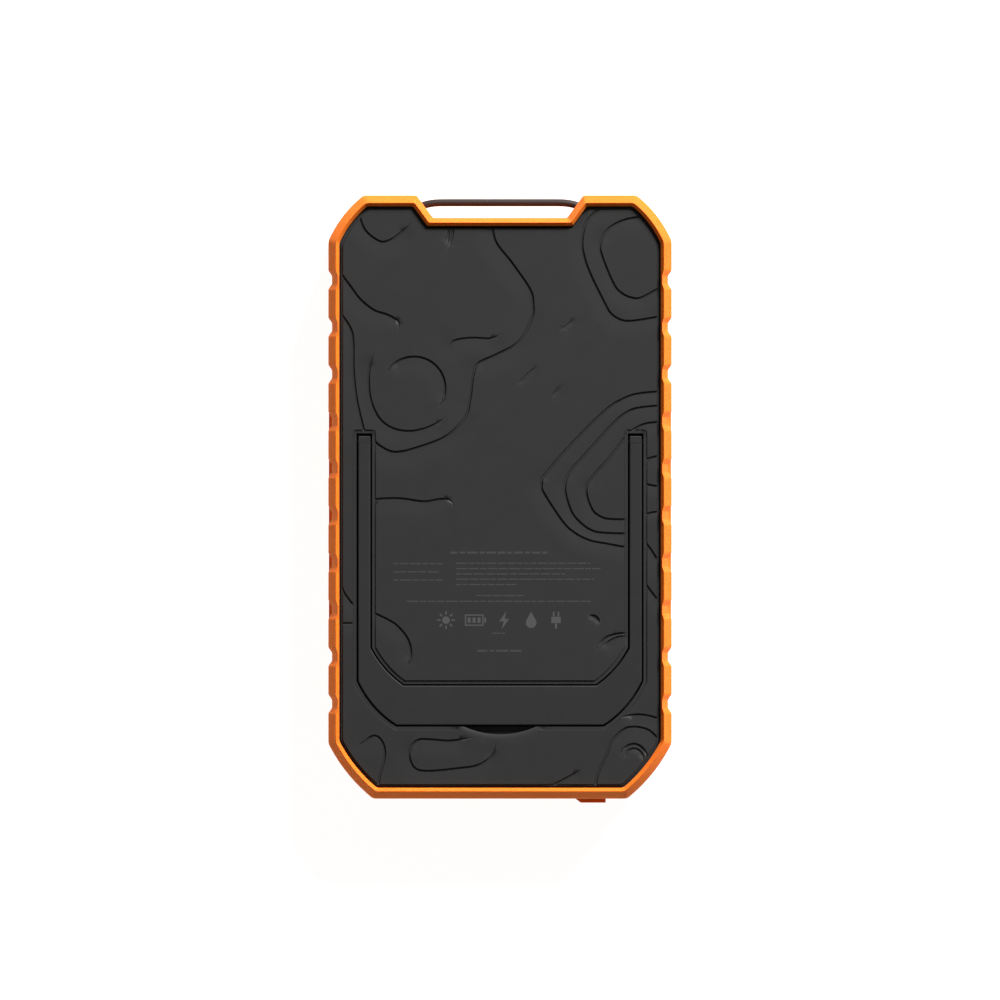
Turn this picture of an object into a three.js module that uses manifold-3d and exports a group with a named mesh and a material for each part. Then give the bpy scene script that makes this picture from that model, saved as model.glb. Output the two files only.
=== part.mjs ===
// Rugged solar power bank: rubber bumper, two-part housing, fold-out stand, hang bar, sealed ports.
// Millimetres. The bank lies on the front (solar) side, so +Z points out of the back cover,
// +Y points to the hang bar and the origin is under the middle of the whole object.

import * as THREE from 'three';
import { mergeVertices } from 'three/addons/utils/BufferGeometryUtils.js';
import Module from 'manifold-3d';

const wasm = await Module();
wasm.setup();

// ---- driving dimensions -------------------------------------------------------------------

const HALF_WIDTH = 42;
const HALF_LENGTH = 73.8;
const THICKNESS = 22;
const TAB_PROUD = 1.1;
const CENTRE_Y = TAB_PROUD / 2;

const TOP_CORNER = { x: 33.4, y: 62.65, radius: 28.5 };
const BOTTOM_CORNER = { x: 31.05, y: -60.3, radius: 40 };
const NOTCH = { topHalf: 20.4, floorHalf: 16.4, depth: 5.5 };

const OUTER_CHAMFER = 1.85;
const LIP_INSET = 2.7;
const BUMPER_WALL = 2.1;
const LIP_THICK = 1.7;
const GROOVE = { count: 10, first: 53.1, pitch: 11.52, mouth: 4.6, floor: 2, depth: 0.9 };
const RAIL_GROOVES = [3, 4, 5, 6, 7];

const FIT = 0.3;
const RUNNING = 0.05;
const HOUSING_INSET = BUMPER_WALL + FIT;
const PLATEAU_INSET = 3.4;
const HOUSING_WALL = 1.6;
const RIM_DROP = 1.2;
const BACK_Z = THICKNESS - RIM_DROP;
const BACK_FLANGE_Z = THICKNESS - LIP_THICK - FIT;
const CEILING_Z = 18.6;
const SPLIT_Z = 5;
const GASKET = { thick: 0.7, outer: 2.5, inner: 3.9 };
const SPLIT_GAP = GASKET.thick / 2 + 0.05;
const FRONT_Z = RIM_DROP;
const FRONT_FLANGE_Z = LIP_THICK + FIT;
const LID_INNER_Z = 3.9;

const STAND = {
  armOuter: 34.7,
  armInner: 31.66,
  outerCorner: -44.9,
  outerFoot: 25.3,
  bottom: -55.75,
  innerCorner: -36.9,
  innerFoot: 23.6,
  innerBottom: -46.1,
  cornerRadius: 25,
  thick: 3,
  pivotY: 13.4,
  pivotZ: 19.25,
};
const SLOT_GAP = 0.4;
const SLOT_TOP = 15.6;
const SLOT_FLOOR_Z = STAND.pivotZ - STAND.thick / 2 - FIT;
const SLOT_SKIRT = 2;
const SLOT_BASE_Z = 16.35;
const NOTCH_BLOCK = { half: 12, low: -61, high: -55 };
const FINGER_NOTCH = { half: 8.75, depth: 1.9, floorZ: 18.9 };
const PIN = { radius: 0.6, inner: 29.9, outer: 36.4 };

const BAR = { radius: 0.9, y: 72.25, z: 11 };
// Half of the bar's line, as x and the drop below its middle: straight, then bent into the ears.
const BAR_BEND = [[13, 0], [15.6, -0.05], [17.5, -0.3], [19.5, -0.9], [22, -2], [24.5, -3.2]];
const EAR_BLOCK = { x: 24.5, halfWidth: 3, low: 66.5, high: 70.8, halfHeight: 2.5 };

const PORT_Z = 11;
const WINDOW = { left: -29.8, right: 27.3, halfHeight: 5.3 };
const FLAP = { left: -27, right: 27, halfHeight: 5, thick: 2, corner: 0.4 };
const TAB = { left: 18.3, right: 25.9, ramp: 1.5, halfHeight: 3.5 };
const PORT_OPENING = { half: 25.5, halfHeight: 4.4, frameThick: 1.1 };
const FLAP_RIDGE = { half: 25, halfHeight: 3.9, wide: 1, tall: 0.7 };
const PORT_WALL_Y = -69;
const ANCHOR = {
  x: -28.4,
  half: 1.1,
  plugLeft: -29.1,
  plugRight: -27.8,
  plugHalf: 2,
  plugEndY: -68.8,
  headHalf: 2.8,
  headY: [-69.4, -68.6],
};
const USB_A = { x: 17.5, width: 13.1, height: 5.7, length: 14, wall: 0.3 };
const TONGUE_A = { half: 5.55, halfThick: 0.92, lift: 0.75, setBack: 2, rootHalf: 6.1, rootTall: 2.4 };
const USB_C = { width: 8.94, height: 3.2, length: 7.3, wall: 0.32 };
const TONGUE_C = { half: 3.35, halfThick: 0.35, setBack: 0.8, rootHalf: 3.6, rootTall: 1.1 };
const SOCKET_FRONT_Y = -70.6;

const BOARD = { half: 32, front: -68.6, back: -44.6, corner: 4, z: 6.9, thick: 1.2 };
const BOARD_TOP = BOARD.z + BOARD.thick + RUNNING;
const BOARD_BOTTOM = BOARD.z - RUNNING;
const CELL = { half: 31, bottom: -34, top: 62, thick: 5.8, z: 4.2, gap: 0.2, corner: 1.2 };
const PROTECTION_BOARD = { half: 20, low: -37.6, high: -34.3, z: 9.7, thick: 0.8 };
const FOAM = { half: 28, bottom: -32, top: 60, z: 16.1 };
const CHIP = { half: 3.5, low: -54, high: -47, thick: 0.9 };
const INDUCTOR = { left: -29, right: -19, low: -55, high: -45.4, tall: 4.2, dimple: 3, dimpleDepth: 0.6 };
const CAPACITOR = { xs: [15, 22], y: -50.5, radius: 2.6, tall: 5.2 };
const SWITCH = { half: 3, z: 5.4 };
const WIRE_RADIUS = 0.7;

const PANEL = { half: 32, bottom: -50, top: 60 };
const PANEL_RECESS_Z = 3;
const PANEL_SHEET = { low: 1.3, high: 1.8 };
const SOLAR_CELL = { count: 6, half: 30.5, low: 1.85, high: 2.05, border: 1, gap: 0.8 };
const PANEL_BACKING = { low: 2.1, high: 2.9 };

const SCREW = {
  x: 35.4,
  ys: [56, 2, -50],
  headRadius: 1.9,
  headZ: 1.35,
  seatZ: 2.5,
  shankRadius: 1,
  tipZ: 9.9,
  pointLength: 0.6,
};
const DRIVE = { mouth: 0.85, radius: 0.75, depth: 0.7 };
const BOSS = { radius: 2.2, low: SPLIT_Z + 0.6, high: 12, holeTop: 10.8 };
const BOSS_WEB = { halfWidth: 1.2, wallX: 38.5 };
const HEAD_CLEARANCE = 0.2;
const LEAD_HOLE = { x: -18, y: -41, radius: 4 };
const BUTTON = { y: -60, radius: 4.4, flange: 5.2, proudZ: 0.7, flangeBackZ: 4.7, stemZ: 4.95, stem: 1.2 };
const LED = { firstX: 10.5, pitch: 3.5, count: 4, pipeRadius: 1, pipeTop: 5.9, low: 6.15, halfWidth: 0.8 };

// ---- materials ----------------------------------------------------------------------------

function material(colour, roughness, metalness = 0) {
  return new THREE.MeshStandardMaterial({ color: colour, roughness, metalness });
}

const finish = {
  orangeRubber: material(0xe87722, 0.62),
  darkPlastic: material(0x38383a, 0.72),
  blackPlastic: material(0x1b1b1d, 0.6),
  blackSteel: material(0x2b2624, 0.38, 0.8),
  steel: material(0xb9bcc0, 0.3, 1),
  sealRubber: material(0x202022, 0.85),
  clearSheet: material(0x20242c, 0.15),
  solarCell: material(0x10162a, 0.3, 0.2),
  whiteBoard: material(0xd8dadc, 0.6),
  greenBoard: material(0x1f5a38, 0.5),
  chip: material(0x18181a, 0.5),
  ferrite: material(0x3b3b3f, 0.7),
  cellFoil: material(0xa9adb2, 0.35, 0.8),
  foam: material(0x3a3a3c, 0.95),
  lightPipe: material(0xe9eef2, 0.2),
  ledBody: material(0xf2e9b8, 0.4),
  redWire: material(0xb3201c, 0.5),
  blackWire: material(0x151515, 0.5),
};

// ---- shape helpers ------------------------------------------------------------------------

function toSolid(geometry) {
  const bare = geometry.clone();
  bare.deleteAttribute('normal');
  bare.deleteAttribute('uv');
  const merged = mergeVertices(bare, 1e-4);
  return new wasm.Manifold(new wasm.Mesh({
    numProp: 3,
    vertProperties: new Float32Array(merged.attributes.position.array),
    triVerts: new Uint32Array(merged.index.array),
  }));
}

function toGeometry(solid) {
  const mesh = solid.getMesh();
  const geometry = new THREE.BufferGeometry();
  geometry.setAttribute('position', new THREE.BufferAttribute(mesh.vertProperties, 3));
  geometry.setIndex(new THREE.BufferAttribute(mesh.triVerts, 1));
  geometry.computeVertexNormals();
  return geometry;
}

function join(...solids) {
  return solids.reduce((sum, next) => sum.add(next));
}

function cut(solid, ...tools) {
  return tools.reduce((left, tool) => left.subtract(tool), solid);
}

// Points of the arc from one point to another, with its centre on the left of the way.
function arc(from, to, radius, steps) {
  const half = from.clone().lerp(to, 0.5);
  const chord = to.clone().sub(from);
  const rise = Math.sqrt(radius ** 2 - chord.lengthSq() / 4);
  const left = new THREE.Vector2(-chord.y, chord.x).normalize();
  const centre = half.addScaledVector(left, rise);
  const sweep = 2 * Math.asin(chord.length() / 2 / radius);
  const points = [];
  for (let step = 0; step <= steps; step += 1) {
    points.push(from.clone().rotateAround(centre, (sweep * step) / steps));
  }
  return points;
}

function mirrored(points) {
  return points.map((p) => new THREE.Vector2(-p.x, p.y)).reverse();
}

// A closed counter-clockwise outline moved inwards by a distance.
function inset(points, distance) {
  const count = points.length;
  const leftOf = (a, b) => new THREE.Vector2(a.y - b.y, b.x - a.x).normalize();
  return points.map((point, index) => {
    const before = leftOf(points[(index + count - 1) % count], point);
    const after = leftOf(point, points[(index + 1) % count]);
    const mitre = before.clone().add(after).divideScalar(1 + before.dot(after));
    return point.clone().addScaledVector(mitre, distance);
  });
}

function prism(points, low, high) {
  const shape = new THREE.Shape(points);
  const geometry = new THREE.ExtrudeGeometry(shape, { depth: high - low, bevelEnabled: false });
  return toSolid(geometry.translate(0, 0, low));
}

function box(x0, x1, y0, y1, z0, z1) {
  const geometry = new THREE.BoxGeometry(x1 - x0, y1 - y0, z1 - z0);
  return toSolid(geometry.translate((x0 + x1) / 2, (y0 + y1) / 2, (z0 + z1) / 2));
}

function post(x, y, radius, low, high, sides = 24) {
  const geometry = new THREE.CylinderGeometry(radius, radius, high - low, sides);
  return toSolid(geometry.rotateX(Math.PI / 2).translate(x, y, (low + high) / 2));
}

function crossRod(x0, x1, y, z, radius, sides = 24) {
  const geometry = new THREE.CylinderGeometry(radius, radius, x1 - x0, sides);
  return toSolid(geometry.rotateZ(Math.PI / 2).translate((x0 + x1) / 2, y, z));
}

// A ring that follows the body outline, with its section given as [inset, z] points.
function outlineRing(section) {
  const rings = section.map(([distance]) => inset(OUTLINE, distance));
  const around = OUTLINE.length;
  const positions = [];
  const triangles = [];
  rings.forEach((ring, level) => {
    ring.forEach((p) => positions.push(p.x, p.y, section[level][1]));
    const next = ((level + 1) % rings.length) * around;
    const here = level * around;
    for (let i = 0; i < around; i += 1) {
      const j = (i + 1) % around;
      triangles.push(here + i, here + j, next + j, here + i, next + j, next + i);
    }
  });
  const geometry = new THREE.BufferGeometry();
  geometry.setAttribute('position', new THREE.Float32BufferAttribute(positions, 3));
  geometry.setIndex(triangles);
  return toSolid(geometry);
}

function roundTube(points, radius, steps, sides) {
  const path = new THREE.CatmullRomCurve3(points);
  const circle = new THREE.EllipseCurve(0, 0, radius, radius).getPoints(sides);
  const section = new THREE.Shape(circle.slice(0, sides));
  return toSolid(new THREE.ExtrudeGeometry(section, { steps, bevelEnabled: false, extrudePath: path }));
}

function lathed(profile, x, y, sides) {
  const points = profile.map(([radius, z]) => new THREE.Vector2(radius, z));
  return toSolid(new THREE.LatheGeometry(points, sides).rotateX(Math.PI / 2).translate(x, y, 0));
}

// A rectangle in the port plane, as a block that runs along Y.
function portBlock(x, halfWidth, z, halfHeight, y0, y1, corner) {
  const shape = new THREE.Shape();
  const flat = halfWidth - corner;
  const tall = halfHeight - corner;
  shape.absarc(flat, tall, corner, 0, Math.PI / 2);
  shape.absarc(-flat, tall, corner, Math.PI / 2, Math.PI);
  shape.absarc(-flat, -tall, corner, Math.PI, 1.5 * Math.PI);
  shape.absarc(flat, -tall, corner, 1.5 * Math.PI, 2 * Math.PI);
  const options = { depth: y1 - y0, bevelEnabled: false, curveSegments: 2 };
  const geometry = new THREE.ExtrudeGeometry(shape, options);
  return toSolid(geometry.rotateX(Math.PI / 2).translate(x, y1, z));
}

// ---- outlines -----------------------------------------------------------------------------

function bodyOutline() {
  const point = (x, y) => new THREE.Vector2(x, y);
  const lower = arc(
    point(BOTTOM_CORNER.x, -HALF_LENGTH),
    point(HALF_WIDTH, BOTTOM_CORNER.y),
    BOTTOM_CORNER.radius,
    8,
  );
  const upper = arc(
    point(HALF_WIDTH, TOP_CORNER.y),
    point(TOP_CORNER.x, HALF_LENGTH),
    TOP_CORNER.radius,
    6,
  );
  const notch = [
    point(NOTCH.topHalf, HALF_LENGTH),
    point(NOTCH.floorHalf, HALF_LENGTH - NOTCH.depth),
  ];
  const right = [...lower, ...upper, ...notch];
  return [...right, ...mirrored(right)];
}

const OUTLINE = bodyOutline();

// The stand's U, with its arms cut off at a height.
function standOutline(armTop) {
  const point = (x, y) => new THREE.Vector2(x, y);
  const outer = arc(
    point(STAND.outerFoot, STAND.bottom),
    point(STAND.armOuter, STAND.outerCorner),
    STAND.cornerRadius,
    6,
  );
  const inner = arc(
    point(STAND.innerFoot, STAND.innerBottom),
    point(STAND.armInner, STAND.innerCorner),
    STAND.cornerRadius,
    6,
  ).reverse();
  const right = [...outer, point(STAND.armOuter, armTop), point(STAND.armInner, armTop), ...inner];
  return [...right, ...mirrored(right)];
}

// ---- outer shell --------------------------------------------------------------------------

function grooveCutter(side, index) {
  const y = GROOVE.first - GROOVE.pitch * index;
  const low = RAIL_GROOVES.includes(index) ? THICKNESS / 2 : -1;
  const reach = 1;
  const slope = (GROOVE.mouth - GROOVE.floor) / 2 / GROOVE.depth;
  const mouth = GROOVE.mouth / 2 + slope * reach;
  const points = [
    new THREE.Vector2(HALF_WIDTH - GROOVE.depth, y - GROOVE.floor / 2),
    new THREE.Vector2(HALF_WIDTH + reach, y - mouth),
    new THREE.Vector2(HALF_WIDTH + reach, y + mouth),
    new THREE.Vector2(HALF_WIDTH - GROOVE.depth, y + GROOVE.floor / 2),
  ];
  return prism(side > 0 ? points : mirrored(points), low, THICKNESS + 1);
}

function makeBumper() {
  const ring = outlineRing([
    [0, 3],
    [0, THICKNESS - 2.4],
    [0.3, THICKNESS - 1.8],
    [OUTER_CHAMFER, THICKNESS],
    [LIP_INSET, THICKNESS - 0.8],
    [LIP_INSET, THICKNESS - LIP_THICK],
    [BUMPER_WALL, THICKNESS - LIP_THICK],
    [BUMPER_WALL, LIP_THICK],
    [LIP_INSET, LIP_THICK],
    [LIP_INSET, 0.5],
    [2.3, 0],
    [1.4, 0],
    [0.2, 1.5],
  ]);
  const grooves = [];
  for (let index = 0; index < GROOVE.count; index += 1) {
    grooves.push(grooveCutter(1, index), grooveCutter(-1, index));
  }
  const low = PORT_Z - WINDOW.halfHeight;
  const high = PORT_Z + WINDOW.halfHeight;
  const window = box(WINDOW.left, WINDOW.right, -HALF_LENGTH - 1, -HALF_LENGTH + 3, low, high);
  return cut(ring, ...grooves, window, barTube(BAR.radius + RUNNING));
}

function seat(y) {
  return [-SCREW.x, SCREW.x].map((x) => ({ x, y }));
}

const SCREW_SEATS = SCREW.ys.flatMap(seat);

function makeBackHousing() {
  const flange = prism(inset(OUTLINE, HOUSING_INSET), SPLIT_Z + SPLIT_GAP, BACK_FLANGE_Z);
  const plateau = prism(inset(OUTLINE, PLATEAU_INSET), BACK_FLANGE_Z - 1, BACK_Z);
  const cavity = prism(inset(OUTLINE, HOUSING_INSET + HOUSING_WALL), 0, CEILING_Z);
  const slotWall = standOutline(SLOT_TOP - SLOT_GAP);
  const skirt = prism(inset(slotWall, -SLOT_GAP - SLOT_SKIRT), SLOT_BASE_Z, CEILING_Z + 0.5);
  const { half: blockHalf, low: blockLow, high: blockHigh } = NOTCH_BLOCK;
  const notchBlock = box(-blockHalf, blockHalf, blockLow, blockHigh, SLOT_BASE_Z, CEILING_Z + 0.5);
  const earBlocks = [-1, 1].map((side) => {
    const x = side * EAR_BLOCK.x;
    const { halfWidth, low: y0, high: y1, halfHeight } = EAR_BLOCK;
    return box(x - halfWidth, x + halfWidth, y0, y1, BAR.z - halfHeight, BAR.z + halfHeight);
  });
  const bosses = SCREW_SEATS.flatMap(({ x, y }) => {
    const wallX = Math.sign(x) * BOSS_WEB.wallX;
    const near = Math.min(x, wallX);
    const far = Math.max(x, wallX);
    const web = box(near, far, y - BOSS_WEB.halfWidth, y + BOSS_WEB.halfWidth, BOSS.low, BOSS.high);
    return [post(x, y, BOSS.radius, BOSS.low, BOSS.high), web];
  });
  const body = join(cut(join(flange, plateau), cavity), skirt, notchBlock, ...earBlocks, ...bosses);

  const slot = prism(inset(slotWall, -SLOT_GAP), SLOT_FLOOR_Z, BACK_Z + 1);
  const notchRadius = (FINGER_NOTCH.half ** 2 + FINGER_NOTCH.depth ** 2) / 2 / FINGER_NOTCH.depth;
  const notchFloor = STAND.bottom - SLOT_GAP - FINGER_NOTCH.depth;
  const notchMiddle = notchFloor + notchRadius;
  const notchDisc = post(0, notchMiddle, notchRadius, FINGER_NOTCH.floorZ, BACK_Z + 1, 72);
  const nearStand = box(-blockHalf, blockHalf, blockLow, STAND.bottom, 0, THICKNESS);
  const notch = notchDisc.intersect(nearStand);
  const holes = SCREW_SEATS.map(({ x, y }) => {
    return post(x, y, SCREW.shankRadius + RUNNING, 0, BOSS.holeTop, 16);
  });
  const half = PORT_OPENING.half;
  const low = PORT_Z - PORT_OPENING.halfHeight;
  const high = PORT_Z + PORT_OPENING.halfHeight;
  const ports = box(-half, half, -HALF_LENGTH, PORT_WALL_Y, low, high);
  const anchorSlot = box(
    ANCHOR.plugLeft - FIT,
    ANCHOR.plugRight + FIT,
    -HALF_LENGTH,
    PORT_WALL_Y,
    PORT_Z - ANCHOR.plugHalf - FIT,
    PORT_Z + ANCHOR.plugHalf + FIT,
  );
  return cut(
    body,
    slot,
    notch,
    ...[-1, 1].map((side) => pinRod(side, PIN.radius + RUNNING, 0.1)),
    barTube(BAR.radius + RUNNING),
    ...holes,
    ports,
    anchorSlot,
  );
}

function makeFrontCover() {
  const wall = HOUSING_INSET + HOUSING_WALL;
  const plateau = prism(inset(OUTLINE, PLATEAU_INSET), FRONT_Z, FRONT_FLANGE_Z + 1);
  const plate = prism(inset(OUTLINE, HOUSING_INSET), FRONT_FLANGE_Z, SPLIT_Z - SPLIT_GAP);
  const hollow = prism(inset(OUTLINE, wall), LID_INNER_Z, SPLIT_Z + 1);
  const bosses = SCREW_SEATS.map(({ x, y }) => {
    return post(x, y, BOSS.radius, LID_INNER_Z - 1, SPLIT_Z - SPLIT_GAP);
  });
  const body = join(cut(join(plateau, plate), hollow), ...bosses);
  const { half, bottom, top } = PANEL;
  const recess = box(-half - FIT, half + FIT, bottom - FIT, top + FIT, 0, PANEL_RECESS_Z);
  const screwHoles = SCREW_SEATS.flatMap(({ x, y }) => [
    post(x, y, SCREW.headRadius + HEAD_CLEARANCE, 0, SCREW.seatZ + 0.1),
    post(x, y, SCREW.shankRadius + HEAD_CLEARANCE, 0, SPLIT_Z + 1, 16),
  ]);
  const buttonHole = post(0, BUTTON.y, BUTTON.radius + FIT, 0, SPLIT_Z, 32);
  const pipeHoles = ledXs().map((x) => post(x, BUTTON.y, LED.pipeRadius + RUNNING, 0, SPLIT_Z, 16));
  const leadHole = post(LEAD_HOLE.x, LEAD_HOLE.y, LEAD_HOLE.radius, 0, SPLIT_Z, 24);
  return cut(body, recess, ...screwHoles, buttonHole, ...pipeHoles, leadHole);
}

function makeGasket() {
  const low = SPLIT_Z - GASKET.thick / 2;
  const high = SPLIT_Z + GASKET.thick / 2;
  return outlineRing([
    [GASKET.outer, low],
    [GASKET.outer, high],
    [GASKET.inner, high],
    [GASKET.inner, low],
  ]);
}

function makeScrew({ x, y }) {
  return lathed([
    [0, SCREW.headZ + DRIVE.depth],
    [DRIVE.radius, SCREW.headZ + DRIVE.depth],
    [DRIVE.mouth, SCREW.headZ],
    [SCREW.headRadius - 0.5, SCREW.headZ],
    [SCREW.headRadius, SCREW.headZ + 0.5],
    [SCREW.headRadius, SCREW.seatZ],
    [SCREW.shankRadius, SCREW.seatZ],
    [SCREW.shankRadius, SCREW.tipZ],
    [0, SCREW.tipZ + SCREW.pointLength],
  ], x, y, 16);
}

// ---- stand and hang bar -------------------------------------------------------------------

function pinRod(side, radius, extra = 0) {
  const near = side * (PIN.inner - extra);
  const far = side * (PIN.outer + extra);
  return crossRod(Math.min(near, far), Math.max(near, far), STAND.pivotY, STAND.pivotZ, radius);
}

function makeKickstand() {
  const low = STAND.pivotZ - STAND.thick / 2;
  const frame = prism(standOutline(STAND.pivotY), low, low + STAND.thick);
  const knuckles = [-1, 1].map((side) => {
    const near = side * STAND.armInner;
    const far = side * STAND.armOuter;
    const radius = STAND.thick / 2;
    return crossRod(Math.min(near, far), Math.max(near, far), STAND.pivotY, STAND.pivotZ, radius, 28);
  });
  const bores = [-1, 1].map((side) => pinRod(side, PIN.radius + RUNNING, 1));
  return cut(join(frame, ...knuckles), ...bores);
}

function barTube(radius) {
  const left = BAR_BEND.map(([x, drop]) => [-x, drop]).reverse();
  const grow = radius > BAR.radius ? 0.1 : 0;
  const points = [...left, ...BAR_BEND].map(([x, drop], index, all) => {
    const atEnd = index === 0 || index === all.length - 1;
    return new THREE.Vector3(x + (atEnd ? Math.sign(x) * grow : 0), BAR.y + drop, BAR.z);
  });
  const steps = 22;
  const sides = 12;
  return roundTube(points, radius, steps, sides);
}

// ---- ports --------------------------------------------------------------------------------

function makePortCover() {
  const outer = -HALF_LENGTH;
  const innerY = outer + FLAP.thick;
  const middle = (FLAP.left + FLAP.right) / 2;
  const halfWidth = (FLAP.right - FLAP.left) / 2;
  const flap = portBlock(middle, halfWidth, PORT_Z, FLAP.halfHeight, outer, innerY, FLAP.corner);
  const { half, halfHeight, wide, tall } = FLAP_RIDGE;
  const ridge = cut(
    portBlock(0, half, PORT_Z, halfHeight, innerY - 0.2, innerY + tall, 1),
    portBlock(0, half - wide, PORT_Z, halfHeight - wide, innerY - 1, innerY + 1, 0.6),
  );
  const tab = prism([
    new THREE.Vector2(TAB.left, outer + 0.2),
    new THREE.Vector2(TAB.left, outer),
    new THREE.Vector2(TAB.left + TAB.ramp, outer - TAB_PROUD),
    new THREE.Vector2(TAB.right, outer - TAB_PROUD),
    new THREE.Vector2(TAB.right, outer + 0.2),
  ], PORT_Z - TAB.halfHeight, PORT_Z + TAB.halfHeight);
  return join(flap, ridge, tab);
}

function makePortCoverAnchor() {
  const outer = -HALF_LENGTH;
  const inner = outer + FLAP.thick;
  const { x, half, plugLeft, plugRight, plugHalf, plugEndY, headHalf, headY } = ANCHOR;
  return join(
    portBlock(x, half, PORT_Z, FLAP.halfHeight, outer, inner, FLAP.corner),
    box(plugLeft, plugRight, inner - 0.2, plugEndY, PORT_Z - plugHalf, PORT_Z + plugHalf),
    box(plugLeft, plugRight, ...headY, PORT_Z - headHalf, PORT_Z + headHalf),
  );
}

function socketCentres() {
  const high = BOARD_TOP + USB_A.height / 2;
  return [{ x: -USB_A.x, z: high }, { x: USB_A.x, z: high }];
}

const USB_C_Z = BOARD_TOP + USB_C.height / 2;

function makePortFrame() {
  const front = -HALF_LENGTH + HOUSING_INSET + 0.5;
  const back = front + PORT_OPENING.frameThick;
  const { half, halfHeight } = PORT_OPENING;
  const plate = portBlock(0, half - FIT, PORT_Z, halfHeight - FIT, front, back, FIT);
  const slots = socketCentres().map(({ x, z }) => {
    return portBlock(x, USB_A.width / 2 + FIT, z, USB_A.height / 2 + FIT, front - 1, back + 1, 0.6);
  });
  const round = USB_C.height / 2 + FIT;
  const typeC = portBlock(0, USB_C.width / 2 + FIT, USB_C_Z, round, front - 1, back + 1, round - 0.01);
  return cut(plate, ...slots, typeC);
}

function makeUsbAShell({ x, z }) {
  const back = SOCKET_FRONT_Y + USB_A.length;
  const { width, height, wall } = USB_A;
  const halfWidth = width / 2;
  const halfHeight = height / 2;
  const outside = portBlock(x, halfWidth, z, halfHeight, SOCKET_FRONT_Y, back, 0.4);
  const front = SOCKET_FRONT_Y - 1;
  const inside = portBlock(x, halfWidth - wall, z, halfHeight - wall, front, back - wall, 0.2);
  return cut(outside, inside);
}

function makeUsbATongue({ x, z }) {
  const back = SOCKET_FRONT_Y + USB_A.length - USB_A.wall - RUNNING;
  const { half, halfThick, lift, setBack, rootHalf, rootTall } = TONGUE_A;
  const blade = portBlock(x, half, z + lift, halfThick, SOCKET_FRONT_Y + setBack, back, 0.2);
  const root = portBlock(x, rootHalf, z, rootTall, back - 3, back, 0.2);
  return join(blade, root);
}

function makeUsbCShell() {
  const back = SOCKET_FRONT_Y + USB_C.length;
  const { width, height, wall } = USB_C;
  const round = height / 2 - 0.01;
  const outside = portBlock(0, width / 2, USB_C_Z, height / 2, SOCKET_FRONT_Y, back, round);
  const halfWidth = width / 2 - wall;
  const halfHeight = height / 2 - wall;
  const front = SOCKET_FRONT_Y - 1;
  const corner = halfHeight - 0.01;
  const inside = portBlock(0, halfWidth, USB_C_Z, halfHeight, front, back - wall, corner);
  return cut(outside, inside);
}

function makeUsbCTongue() {
  const back = SOCKET_FRONT_Y + USB_C.length - USB_C.wall - RUNNING;
  const { half, halfThick, setBack, rootHalf, rootTall } = TONGUE_C;
  const blade = portBlock(0, half, USB_C_Z, halfThick, SOCKET_FRONT_Y + setBack, back, 0.15);
  const root = portBlock(0, rootHalf, USB_C_Z, rootTall, back - 1.6, back, 0.3);
  return join(blade, root);
}

// ---- electronics --------------------------------------------------------------------------

function ledXs() {
  return Array.from({ length: LED.count }, (_, index) => LED.firstX + index * LED.pitch);
}

function makeMainBoard() {
  const point = (x, y) => new THREE.Vector2(x, y);
  const right = [
    point(BOARD.half - BOARD.corner, BOARD.front),
    point(BOARD.half, BOARD.front + BOARD.corner),
    point(BOARD.half, BOARD.back),
  ];
  const board = prism([...right, ...mirrored(right)], BOARD.z, BOARD.z + BOARD.thick);
  const reliefRadius = BOSS.radius + FIT + 1.2;
  const screwRelief = [-1, 1].map((side) => {
    return post(side * SCREW.x, SCREW.ys[2], reliefRadius, BOARD.z - 1, BOARD.z + BOARD.thick + 1);
  });
  return cut(board, ...screwRelief);
}

function makePouchCell(index) {
  const low = CELL.z + index * (CELL.thick + CELL.gap);
  const { half, bottom, top, corner } = CELL;
  const section = [
    new THREE.Vector2(half - corner, low),
    new THREE.Vector2(half, low + corner),
    new THREE.Vector2(half, low + CELL.thick - corner),
    new THREE.Vector2(half - corner, low + CELL.thick),
  ];
  const shape = new THREE.Shape([...section, ...mirrored(section)]);
  const geometry = new THREE.ExtrudeGeometry(shape, { depth: top - bottom, bevelEnabled: false });
  return toSolid(geometry.rotateX(Math.PI / 2).translate(0, top, 0));
}

function makeInductor() {
  const { left, right, low, high, tall, dimple, dimpleDepth } = INDUCTOR;
  const block = box(left, right, low, high, BOARD_TOP, BOARD_TOP + tall);
  const x = (left + right) / 2;
  const y = (low + high) / 2;
  return cut(block, post(x, y, dimple, BOARD_TOP + tall - dimpleDepth, BOARD_TOP + tall + 1));
}

function wire(points) {
  const route = points.map(([x, y, z]) => new THREE.Vector3(x, y, z));
  return roundTube(route, WIRE_RADIUS, 14, 8);
}

// A lead from the protection board's edge over to the main board.
function batteryLead(x) {
  return wire([[x, -38.4, 10.1], [x, -41, 10.2], [x, -44, 9.6], [x, -47, 9.1]]);
}

// A lead from the panel's back, through the front cover, to the main board's underside.
function panelLead(x) {
  return wire([[x, -41, 3], [x, -41, 4.4], [x, -43.5, 5.4], [x, -45.8, 6.1]]);
}

function panelLayer({ low, high }) {
  return box(-PANEL.half, PANEL.half, PANEL.bottom, PANEL.top, low, high);
}

function makePowerButton() {
  return lathed([
    [0, BUTTON.proudZ + 0.15],
    [3.2, BUTTON.proudZ + 0.1],
    [3.6, BUTTON.proudZ],
    [BUTTON.radius - 0.4, BUTTON.proudZ],
    [BUTTON.radius, BUTTON.proudZ + 0.4],
    [BUTTON.radius, LID_INNER_Z + FIT],
    [BUTTON.flange, LID_INNER_Z + FIT],
    [BUTTON.flange, BUTTON.flangeBackZ],
    [BUTTON.stem, BUTTON.flangeBackZ],
    [BUTTON.stem, BUTTON.stemZ],
    [0, BUTTON.stemZ],
  ], 0, BUTTON.y, 32);
}

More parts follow.
